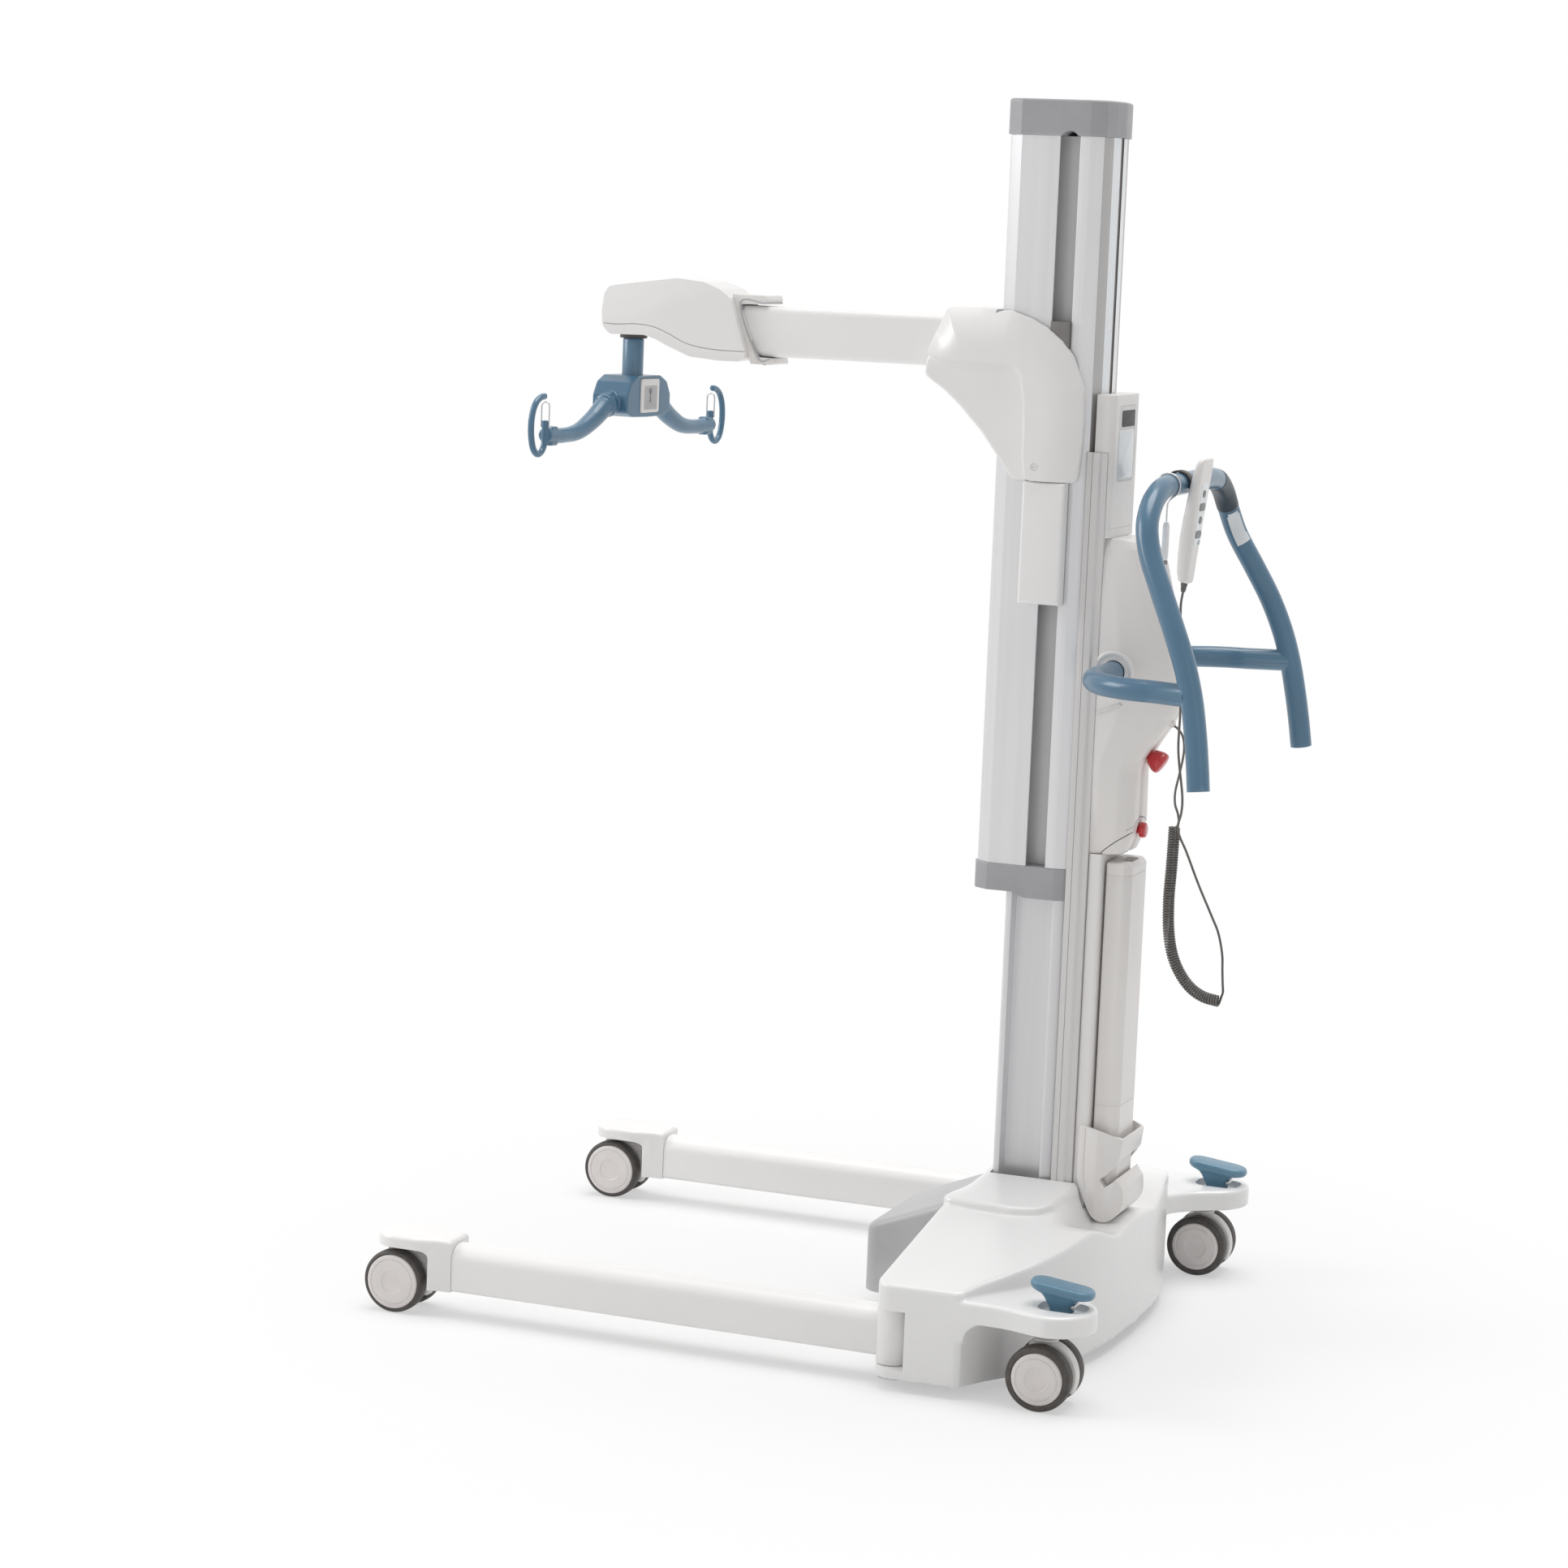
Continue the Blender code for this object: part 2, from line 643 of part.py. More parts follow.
def chassis():
    """The steel frame: floor plate, column stand, arms to the rear castors and pivot pins."""
    plate = prism(mirrored([(0.0, -0.2425), (0.36, -0.2425), (0.36, -0.105), (0.25, -0.055), (0.0, -0.030)]),
                  CHASSIS_LOW, BASE_LOW - GAP)
    ends = rounded(PIVOT_X + 0.020, 0.020, 0.0195, (0.0, PIVOT_Y))
    frame = join(plate, prism(ends, CHASSIS_LOW, BASE_LOW - GAP))
    for sign in (-1, 1):
        cheek = sorted((sign * 0.082, sign * 0.070))
        frame = join(frame, box((cheek[0], -0.225, 0.015), (cheek[1], -0.045, CHASSIS_DECK)))
    frame = join(frame, box((-0.082, -0.225, CHASSIS_DECK - 0.008), (0.082, -0.045, CHASSIS_DECK)))
    frame = both_sides(lambda: arm_run(ARM_W, CHASSIS_DECK - ARM_T, CHASSIS_DECK, 0.030), frame, "UNION")
    pin = lambda: rod(PIN_R, 0.015, BARREL_HIGH + 0.008, "Z", (PIVOT_X, PIVOT_Y), PIN_SIDES)
    frame = both_sides(pin, frame, "UNION")
    stem = lambda: rod(STEM_R + GAP, 0.11, 0.2, "Z", (REAR_X, 0.0), 12)
    frame = both_sides(stem, frame, "DIFFERENCE")
    tongue = box((-0.045, -0.375, CHASSIS_LOW + 0.03), (0.045, BASE_FRONT + 0.01, CHASSIS_LOW + 0.034))
    riser = box((-0.045, BASE_FRONT + 0.006, CHASSIS_LOW), (0.045, BASE_FRONT + 0.010, CHASSIS_LOW + 0.034))
    return add("chassis", join(frame, tongue, riser), STEEL, lift)


def front_cover():
    """The housing of the leg drive: a shell that is open at its back and underside."""
    front = -0.405
    rear = BASE_FRONT - GAP
    half = 0.130
    outline = mirrored([(0.0, front), (0.080, front)] + arc((0.085, front + 0.045), 0.045, 270, 360, 5)
                       + [(half + 0.002, rear)])
    body = bevel(prism(outline, 0.045, 0.150), 0.012, 3, lambda a, b: all_at(2, 0.150)(a, b)
                 and not all_at(1, rear)(a, b))
    inner = [(x * 0.955, y if y > rear - 1e-4 else y + 0.005) for x, y in outline]
    inner = [(x, y + 0.01 if y > rear - 1e-4 else y) for x, y in inner]
    return add("front_cover", cut(body, prism(inner, 0.03, 0.1455)), MID_GREY, lift)


def leg_actuator():
    """The drive inside the front cover: a motor block, a screw housing and two end eyes."""
    y = -0.330
    z = CHASSIS_LOW + 0.034 + GAP + 0.024
    block = bevel(box((-0.030, y - 0.024, z - 0.024), (0.030, y + 0.024, z + 0.024)), 0.003, 2, along(1))
    barrel = rod(0.019, -0.105, 0.105, "X", (y, z), 12)
    screw = rod(0.008, -0.120, 0.120, "X", (y, z), 8)
    return add("leg_actuator", join(block, barrel, screw), STEEL, lift)


def brake_pedal(side, sign):
    """A blue rocking pedal: a long pad on a tapered stem with a round foot."""
    at = Vector((sign * REAR_X, PEDAL_Y, PEDAL_Z))
    rocker = pivot(f"pedal_pivot_{side}", at, lift)
    rows = ((0.000, 0.012, 0.018), (0.024, 0.018, 0.034), (0.029, 0.0235, 0.047),
            (0.037, 0.0240, 0.0485), (0.041, 0.0215, 0.045))
    rings = []
    for height, half_x, half_y in rows:
        ring = rounded(half_x, half_y, half_x * 0.8, count=3)
        rings.append([(x, y, height - 0.12 * y * (height > 0.013)) for x, y in ring])
    foot = rod(0.0045, -0.012, 0.012, "X", (0.0, 0.0), 10)
    add(f"brake_pedal_{side}", join(loft(rings), foot), BLUE, rocker, local=True)


# Mast


def mast_outline():
    """Outer half section of the mast, with its side groove."""
    half = [(0.0, -0.269), (0.044, -0.269), (0.059, -0.263), (0.070, -0.243), (0.070, -0.182), (0.066, -0.182),
            (0.066, -0.199), (0.042, -0.199), (0.042, -0.143), (0.066, -0.143), (0.066, -0.151),
            (0.070, -0.151), (0.070, -0.135), (0.063, -0.114), (0.035, -0.108), (0.0, MAST_BACK)]
    return mirrored(half)


def mast_cavity():
    """Inner half section of the mast."""
    half = [(0.0, -0.265), (0.0424, -0.265), (0.0565, -0.2595), (0.066, -0.2414), (0.066, -0.2025),
            (0.038, -0.2025), (0.038, -0.1395), (0.066, -0.1395), (0.066, -0.1345), (0.0595, -0.1175),
            (0.034, -0.112), (0.0, -0.108)]
    return mirrored(half)


def column_outline(grow=0.0):
    """Half section of the fixed column, which the mast encloses."""
    half = [(0.0, -0.215), (0.058, -0.215), (0.0625, -0.211), (0.0625, -0.204), (0.036, -0.204),
            (0.036, -0.138), (0.0625, -0.138), (0.0625, -0.1345), (0.057, -0.119), (0.033, -0.114),
            (0.0, -0.1105)]
    return offset(mirrored(half), grow) if grow else mirrored(half)


def cap_outline(grow):
    """The mast's outline without its grooves, for the two caps."""
    half = [(0.0, -0.269), (0.044, -0.269), (0.059, -0.263), (0.070, -0.243), (0.070, -0.135), (0.063, -0.114),
            (0.035, -0.108), (0.0, MAST_BACK)]
    return offset(mirrored(half), grow)


def mast():
    add("moving_mast", prism(mast_outline(), MAST_LOW, MAST_HIGH, "Z", [mast_cavity()]), PALE_GREY, mast_slide)
    cap = prism(cap_outline(CAP_LIP), MAST_HIGH + GAP, CAP_HIGH)
    cap = bevel(cap, 0.005, 2, all_at(2, CAP_HIGH))
    notch = rod(0.0155, -0.1, 0.1, "X", (SLOT_Y, MAST_HIGH - 0.008), 16)
    cap = cut(cap, notch)
    spigot = prism(offset(mast_cavity(), -0.0006), MAST_HIGH - 0.012, MAST_HIGH + 0.01)
    cap = join(cap, spigot)
    socket = rod(ROD_R + GAP, MAST_HIGH - 0.02, MAST_HIGH + 0.030 + GAP, "Z", (0.0, SLOT_Y))
    add("mast_top_cap", cut(cap, socket), MID_GREY, mast_slide)
    add("lift_rod", rod(ROD_R, ROD_LOW, MAST_HIGH + 0.030, "Z", (0.0, SLOT_Y)), STEEL, mast_slide)
    flush = [grown if grown[1] < -0.15 else plain for grown, plain in zip(cap_outline(0.003), cap_outline(0.0))]
    bottom = prism(flush, 0.690, MAST_LOW - GAP)
    wedge = prism([(-0.30, 0.68), (-0.181, 0.68), (-0.181, 0.690), (-0.204, 0.698), (-0.30, 0.698)], -0.1, 0.1, "X")
    bottom = cut(bottom, wedge)
    ring = prism(column_outline(CAP_FIT), 0.6, 0.8)
    bottom = cut(bottom, ring)
    add("mast_bottom_cap", bevel(bottom, 0.0015, 1, all_at(2, MAST_LOW - GAP)), MID_GREY, mast_slide)


def columns():
    foot = CHASSIS_DECK + GAP
    inner = prism(column_outline(), foot, COLUMN_HIGH)
    add("fixed_column", cut(inner, rod(BORE_R, BORE_FLOOR, 1.6, "Z", (0.0, SLOT_Y), 20)), PALE_GREY, lift)
    half = [(0.0, REAR_COLUMN_FRONT), (0.035, -0.1045), (0.0605, -0.1095), (0.0645, -0.1115), (0.0655, -0.1165),
            (0.0690, -0.1165), (0.0690, -0.096), (REAR_COLUMN_HALF, -0.093), (REAR_COLUMN_HALF, REAR_COLUMN_BACK),
            (0.0, REAR_COLUMN_BACK)]
    hollow = rounded(0.050, 0.0045, 0.002, (0.0, -0.0925), 1)
    add("rear_column", prism(mirrored(half), foot, REAR_COLUMN_HIGH, "Z", [hollow]), PALE_GREY, lift)
    plate = rounded(0.062, 0.0105, 0.002, (0.0, REAR_COLUMN_BACK + GAP + 0.0105), 1)
    add("battery_bracket", prism(plate, foot, BOX_LOW - GAP), SHADED_WHITE, lift)


# Carriage and arm


def elbow_outline():
    """The side view of the arm bracket without its web."""
    return [(-0.376, 1.516), (-0.245, 1.515), (-0.232, 1.511), (-0.221, 1.497), (-0.213, 1.451),
            (-0.212, 1.377), (-0.207, 1.337), (-0.126, 1.3365), (-0.122, 1.382), (-0.120, 1.431),
            (-0.123, 1.480), (-0.142, 1.528), (-0.160, 1.551), (-0.183, 1.569), (-0.211, 1.583),
            (-0.242, 1.593), (-0.301, 1.595), (-0.353, 1.594), (-0.368, 1.556)]


def web_outline():
    """The side view of the recessed web that fills the bracket's inner corner."""
    return [(-0.379, 1.489), (-0.347, 1.468), (-0.320, 1.445), (-0.285, 1.409), (-0.258, 1.374),
            (-0.230, 1.3365), (-0.200, 1.3365), (-0.200, 1.52), (-0.220, 1.53), (-0.376, 1.522)]


def carriage():
    main = bevel(prism(elbow_outline(), -YOKE_HALF, YOKE_HALF, "X"), 0.009, 2, all_at(0, -YOKE_HALF, YOKE_HALF))
    web = bevel(prism(web_outline(), -GUSSET_HALF, GUSSET_HALF, "X"), 0.004, 2, all_at(0, -GUSSET_HALF, GUSSET_HALF))
    body = join(main, web)
    body = cut(body, box((-YOKE_IN, YOKE_FRONT, 1.2), (YOKE_IN, 0.0, 1.7)))
    socket = box((-ARM_HALF - GAP, -0.4, ARM_LOW - GAP), (ARM_HALF + GAP, -0.290, ARM_HIGH + GAP))
    body = cut(body, socket)
    groove = [(YOKE_IN - 0.001, SLOT_Y - 0.0153), (YOKE_IN + 0.006, SLOT_Y - 0.0153),
              (YOKE_IN + 0.006, SLOT_Y + 0.0153), (YOKE_IN - 0.001, SLOT_Y + 0.0153)]
    body = cut(body, prism(groove, 1.3, 1.5803))
    body = cut(body, flip_x(prism(groove, 1.3, 1.5803)))
    add("elbow_housing", body, WHITE, carriage_slide)
    for side, sign in SIDES:
        block = [(0.0425, -0.1985), (0.0655, -0.1985), (0.0655, -0.1815), (0.0782, -0.1815),
                 (0.0782, -0.1515), (0.0655, -0.1515), (0.0655, -0.1435), (0.0425, -0.1435)]
        slide = prism(block, 1.170, 1.580)
        low = [(YOKE_IN, -0.210), (0.092, -0.210), (0.092, -0.142), (YOKE_IN, -0.142)]
        cover = bevel(prism(low, 1.149, 1.3362), 0.004, 2, lambda a, b: all_at(0, 0.092)(a, b))
        cover = cut(cover, prism([(u, v) for u, v in groove], 1.1, 1.4))
        if sign < 0:
            flip_x(slide)
            flip_x(cover)
        add(f"slide_block_{side}", slide, DARK, carriage_slide)
        add(f"carriage_cover_{side}", cover, WHITE, carriage_slide)


def arm():
    outer = rounded(ARM_HALF, (ARM_HIGH - ARM_LOW) / 2, 0.006, (0.0, (ARM_HIGH + ARM_LOW) / 2), 2)
    inner = offset(outer, -ARM_TUBE_WALL)
    add("boom_tube", prism(outer, BOOM_END, -0.2903, "Y", [inner]), WHITE, carriage_slide)
    c_shape = [(-0.7195, 1.592), (-0.6860, 1.492), (-0.657, 1.492), (-0.657, 1.499), (-0.6755, 1.5000),
               (-0.7085, 1.5820), (-0.670, 1.584), (-0.670, 1.592)]
    cuff = bevel(prism(c_shape, -0.036, 0.036, "X"), 0.002, 1, all_at(0, -0.036, 0.036))
    clear = box((-ARM_HALF - GAP, -0.9, ARM_LOW - GAP), (ARM_HALF + GAP, -0.5, ARM_HIGH + GAP))
    add("boom_cuff", cut(cuff, clear), PALE_GREY, carriage_slide)
    side = [(-0.939, 1.564), (-0.938, 1.539), (-0.925, 1.525), (-0.865, 1.526), (-0.846, 1.521), (-0.829, 1.513),
            (-0.786, 1.496), (-0.738, 1.492), (-0.6866, 1.492), (-0.7190, 1.590), (-0.738, 1.604),
            (-0.766, 1.614), (-0.810, 1.618), (-0.896, 1.606), (-0.928, 1.601), (-0.936, 1.588)]
    head = bevel(prism(side, -HEAD_HALF, HEAD_HALF, "X"), 0.012, 2, all_at(0, -HEAD_HALF, HEAD_HALF))
    socket = box((-ARM_HALF - GAP, BOOM_END - GAP, ARM_LOW - GAP), (ARM_HALF + GAP, -0.6, ARM_HIGH + GAP))
    bore = rod(0.0125 + GAP, 1.4, 1.572, "Z", (0.0, SPINDLE_Y), 20)
    add("boom_head", cut(head, socket, bore), WHITE, carriage_slide)
    ring = lathe([(0.0125 + GAP, 1.5187), (0.022, 1.5187), (0.022, 1.5247), (0.0125 + GAP, 1.5247),
                  (0.0125 + GAP, 1.5187)], 16, "Z", (0, SPINDLE_Y, 0))
    add("spindle_ring", ring, DARK, carriage_slide)


# Spreader bar, in its own coordinates about the spindle's axis, before its turn


def local_z(z):
    return z - PLACES["spindle_axis"].z


def spreader():
    shank = lathe([(0, 1.452), (SPINDLE_R, 1.452), (SPINDLE_R, 1.5184), (0.0125, 1.5184), (0.0125, 1.5715),
                   (0, 1.5715)], 20)
    hub_side = [(0.0, 1.460), (0.038, 1.460), (0.060, 1.450), (0.072, 1.430), (0.072, 1.402), (0.052, 1.395),
                (0.0, 1.394)]
    hub = bevel(prism(mirrored(hub_side), -0.032, 0.032, "Y"), 0.006, 2, all_at(1, -0.032, 0.032))
    body = hub
    for sign in (-1, 1):
        route = [(sign * x, 0, z) for x, z in ((0.045, 1.424), (0.085, 1.413), (0.130, 1.390), (0.175, 1.374),
                                               (0.225, 1.370), (HOOK_X, 1.372))]
        radii = [1.15, 1.08, 1.0, 0.92, 0.86, 0.82, 0.8, 0.8, 0.78]
        body = join(body, tube(smooth(route, 9), 0.0155, 2, radii))
        loop = [(sign * (HOOK_X + x), 0, z) for x, z in
                ((0.0, 1.395), (0.0, 1.375), (0.0015, 1.358), (0.0095, 1.347), (0.0225, 1.3435), (0.0360, 1.354),
                 (0.0430, 1.378), (0.0410, 1.404), (0.0310, 1.422), (0.0165, 1.4305), (0.0025, 1.4325))]
        body = join(body, tube(smooth(loop, 15), LOOP_TUBE_R, 1))
    seat = box((-0.030, 0.0295, 1.401), (0.030, 0.05, 1.4555))
    body = cut(body, seat)
    body = cut(body, rod(SPINDLE_R + GAP, 1.4517, 1.6, "Z", (0.0, 0.0), 20))
    plate = bevel(box((-0.0297, 0.0298, 1.4013), (0.0297, 0.0345, 1.4552)), 0.003, 2, along(1))
    keyhole = join(rod(0.005, 0.0, 0.1, "Y", (0.0, 1.436), 16), box((-0.0022, 0.0, 1.418), (0.0022, 0.1, 1.436)))
    pieces = [("spindle", shank, BLUE), ("spreader_bar", body, BLUE), ("hub_plate", cut(plate, keyhole), WHITE)]
    for name, bm, finish in pieces:
        bmesh.ops.translate(bm, vec=(0, 0, -PLACES["spindle_axis"].z), verts=bm.verts)
        add(name, bm, finish, spindle_axis, local=True)
    for side, sign in SIDES:
        gate(side, sign)


def gate(side, sign):
    """The wire gate of a hook: it stands astride the hook's straight bar and springs into the hook."""
    foot = (sign * HOOK_X, 0.0, local_z(1.384))
    hinge = bpy.data.objects.new(f"gate_pivot_{side}", None)
    bpy.context.scene.collection.objects.link(hinge)
    hinge.parent = spindle_axis
    hinge.location = foot
    height = 1.4235 - 1.384
    half = LOOP_TUBE_R + GAP + GATE_WIRE_R
    route = [(0.0, -half, 0.0), (0.0, -half, height * 0.4), (0.0, -half, height * 0.8),
             (0.0, -half * 0.75, height * 0.95), (0.0, 0.0, height), (0.0, half * 0.75, height * 0.95),
             (0.0, half, height * 0.8), (0.0, half, height * 0.4), (0.0, half, 0.0)]
    wire = tube(route, GATE_WIRE_R, 1)
    add(f"hook_gate_{side}", wire, STEEL, hinge, local=True)


# Control box, status cover and handle


def box_ring(z, rear, back_half, side_half):
    """One level of the control box: a flat front, straight flanks and a rounded back."""
    front = REAR_COLUMN_BACK - 0.0235
    points = [(side_half, front), (side_half, (front + rear) / 2 - 0.01)]
    points += [(side_half - (side_half - back_half) * 0.35, rear - (rear - front) * 0.24)]
    points += [(back_half + (side_half - back_half) * 0.12, rear - 0.006), (back_half * 0.8, rear)]
    return [(x, y, z) for x, y in points] + [(-x, y, z) for x, y in reversed(points)]


def control_housing():
    levels = ((0.768, -0.036, 0.044, 0.058), (0.790, -0.026, 0.045, 0.060), (0.815, -0.021, 0.045, 0.062),
              (0.905, -0.021, 0.040, 0.0645), (0.940, 0.000, 0.033, 0.0645), (0.968, 0.019, 0.026, 0.0645),
              (0.990, 0.031, 0.022, 0.0645), (1.010, 0.036, 0.020, 0.0645), (1.045, 0.036, 0.022, 0.0645),
              (1.100, 0.024, 0.028, 0.0645), (1.170, 0.006, 0.035, 0.0640), (1.218, -0.008, 0.041, 0.0620),
              (1.240, -0.020, 0.043, 0.0580), (1.255, -0.042, 0.044, 0.0500))
    body = loft([box_ring(*level) for level in levels])
    bore = HANDLE_HOLE_R
    collar_profile = [(0.0, 0.050), (bore + 0.0155, 0.050), (bore + 0.0150, 0.0675), (bore + 0.0120, 0.0690),
                      (bore + 0.0090, 0.0680), (bore + 0.0065, 0.0660), (0.0, 0.0660)]
    for sign in (-1, 1):
        profile = [(r, sign * x) for r, x in collar_profile]
        body = join(body, lathe(profile, 18, "X", (0, COLLAR_Y, COLLAR_Z)))
    body = cut(body, box((-0.1, -0.2, 0.7), (0.1, REAR_COLUMN_BACK + GAP, 1.4)))
    return cut(body, rod(HANDLE_HOLE_R, -0.2, 0.2, "X", (COLLAR_Y, COLLAR_Z), 16))


def slanted(bm, at, lean):
    """Lays a shape made along +Z on a face whose normal leans from +Y by this angle."""
    bmesh.ops.rotate(bm, verts=bm.verts, matrix=Matrix.Rotation(-math.pi / 2 - lean, 3, "X"))
    bmesh.ops.translate(bm, vec=Vector(at), verts=bm.verts)
    bmesh.ops.recalc_face_normals(bm, faces=bm.faces)
    return bm


STOP_LEAN = math.radians(33)
STOP_AT = (0.0, -0.0125, 0.9215)
KNOB_AT = (0.0, -0.0225, 0.8030)
OUTLET_AT = (0.010, 0.0226, 0.9735)


def stop_cutter():
    """The bore for the stop button's stem, and the shallow seat that its collar is pressed into."""
    profile = [(0, -0.022), (0.0085, -0.022), (0.0085, -0.0006), (0.0133, -0.0006), (0.0133, 0.03), (0, 0.03)]
    return slanted(lathe(profile, 16), STOP_AT, STOP_LEAN)


def buttons():
    body = control_housing()
    body = cut(body, stop_cutter())
    body = cut(body, rod(0.0063, -0.040, 0.0, "Y", (KNOB_AT[0], KNOB_AT[2])))
    outlet = slanted(lathe([(0, -0.004), (0.0055, -0.004), (0.0055, 0.004), (0.0045, 0.006), (0, 0.006)], 12),
                     OUTLET_AT, STOP_LEAN)
    add("control_housing", join(body, outlet), WHITE, lift)
    stop_slide = pivot("stop_slide", STOP_AT, lift)
    mushroom = lathe([(0, -0.018), (0.0080, -0.018), (0.0080, 0.0040), (0.0125, 0.0040), (0.0125, 0.0150),
                      (0.0165, 0.0170), (0.0175, 0.0200), (0.0175, 0.0240), (0.0150, 0.0272), (0.0090, 0.0287),
                      (0, 0.0290)], 16)
    add("stop_button", slanted(mushroom, (0, 0, 0), STOP_LEAN), RED, stop_slide, local=True)
    knob_slide = pivot("knob_slide", KNOB_AT, lift)
    knob = lathe([(0, -0.012), (0.0060, -0.012), (0.0060, 0.0015), (0.0105, 0.0015), (0.0120, 0.0035),
                  (0.0120, 0.0085), (0.0100, 0.0115), (0, 0.0120)], 12, "Y")
    add("lowering_knob", knob, RED, knob_slide, local=True)


def status_cover():
    back = -0.0755
    half = [(0.0, REAR_COLUMN_FRONT), (0.035, -0.1045), (0.0605, -0.1060), (0.0645, -0.1060), (0.0645, -0.084),
            (0.0580, back), (0.0, back)]
    body = bevel(prism(mirrored(half), 1.2555, 1.473), 0.003, 1, all_at(2, 1.473))
    body = cut(body, box((-0.08, -0.12, 1.2), (0.08, REAR_COLUMN_BACK + GAP, REAR_COLUMN_HIGH + GAP)))
    panel = rounded(0.0425, 0.058, 0.006, (0.0, 1.398))
    body = cut(body, prism(panel, back - 0.0015, back + 0.01, "Y"))
    add("status_cover", body, WHITE, lift)
    plate = rounded(0.0422, 0.0577, 0.0057, (0.0, 1.398))
    add("status_panel", prism(plate, back - 0.0012, back + 0.0006, "Y"), PALE_GREY, lift)


def handle():
    hoop = [(0.305, 0.151, 0.915), (0.301, 0.146, 0.955), (0.296, 0.139, 1.000), (0.291, 0.129, 1.050),
            (0.287, 0.114, 1.100), (0.281, 0.093, 1.150), (0.266, 0.068, 1.200), (0.247, 0.043, 1.250),
            (0.230, 0.031, 1.290), (0.202, BAR_Y, 1.320), (0.165, BAR_Y, 1.338), (0.125, BAR_Y, BAR_Z - 0.0005),
            (0.075, BAR_Y, BAR_Z)]
    route = hoop + [(-x, y, z) for x, y, z in reversed(hoop)]
    frame = tube(smooth(route, 36), HANDLE_R, 2)
    bend = 0.120
    reach = 0.270
    bar = [(x, y, COLLAR_Z) for x, y in arc((reach - bend, COLLAR_Y + bend), bend, 270, 360, 6)]
    bar.append((reach + 0.020, 0.124, COLLAR_Z))
    bar = [(-x, y, z) for x, y, z in reversed(bar)] + bar
    add("handle_frame", join(frame, tube(bar, HANDLE_R, 2)), BLUE, lift)


# Battery


def battery():
    tilt = pivot("battery_tilt", (0.0, BATTERY_BACK, BATTERY_LOW), lift)
    half = [(0.0, BATTERY_FRONT), (BATTERY_HALF, BATTERY_FRONT), (BATTERY_HALF, BATTERY_BACK - 0.012),
            (BATTERY_HALF - 0.010, BATTERY_BACK), (0.0, BATTERY_BACK)]
    body = prism(mirrored(half), BATTERY_LOW, BATTERY_HIGH)
    body = bevel(body, 0.004, 2, all_at(2, BATTERY_HIGH))
    slope = prism([(-0.040, BATTERY_HIGH + 0.01), (0.0, BATTERY_HIGH + 0.01), (0.0, BATTERY_HIGH - 0.022)],
                  -0.1, 0.1, "X")
    grip = prism(rounded(0.024, 0.0095, 0.006, (0.0, -0.036)), BATTERY_HIGH - 0.020, BATTERY_HIGH + 0.1)
    add("battery_pack", cut(body, slope, grip), SHADED_WHITE, tilt)


def pocket_block(grow=0.0):
    """The pocket's outside as one solid block, or the room that it needs in the base."""
    side = [(POCKET_FRONT, 0.343), (POCKET_FRONT, 0.262), (-0.068, 0.236), (-0.053, 0.210), (-0.030, 0.198),
            (-0.010, 0.208), (-0.002, 0.228), (-0.003, 0.245), (-0.0135, 0.259), (-0.0055, 0.324)]
    half = POCKET_HALF + grow
    body = prism(offset(side, grow) if grow else side, -half, half, "X")
    corner = lambda: prism([(half + 0.0003, -0.046), (0.09, -0.046), (0.09, 0.02), (half - 0.0145, 0.02)], 0.1, 0.4)
    return both_sides(corner, body, "DIFFERENCE")


def pocket():
    """The pocket that the battery stands in: an open tray with a rounded tab and a hole in each side."""
    behind = REAR_COLUMN_BACK + 2 * GAP + 0.021
    body = cut(pocket_block(), box((-0.062 - GAP, POCKET_FRONT - 0.01, 0.1), (0.062 + GAP, behind, 0.4)))
    room = BATTERY_HALF + 0.0015
    low = [(room, behind - 0.01), (room, BATTERY_BACK - 0.012), (BATTERY_HALF - 0.008, BATTERY_BACK + GAP),
           (0.0, BATTERY_BACK + GAP)]
    high = [(0.0600, behind - 0.01), (0.0600, -0.022), (0.0500, -0.0080), (0.0, -0.0080)]
    levels = ((BATTERY_LOW - GAP, low), (0.325, high), (0.36, high))
    body = cut(body, loft([[(x, y, z) for x, y in mirrored(list(reversed(ring)))] for z, ring in levels]))
    body = cut(body, prism(arc((-0.030, 0.276), 0.008, 20, 340, 8), -0.1, 0.1, "X"))
    add("battery_pocket", body, PALE_GREY, lift)


# Handset


HANDSET_X = 0.055
HANDSET_LEAN = math.radians(-5.8)


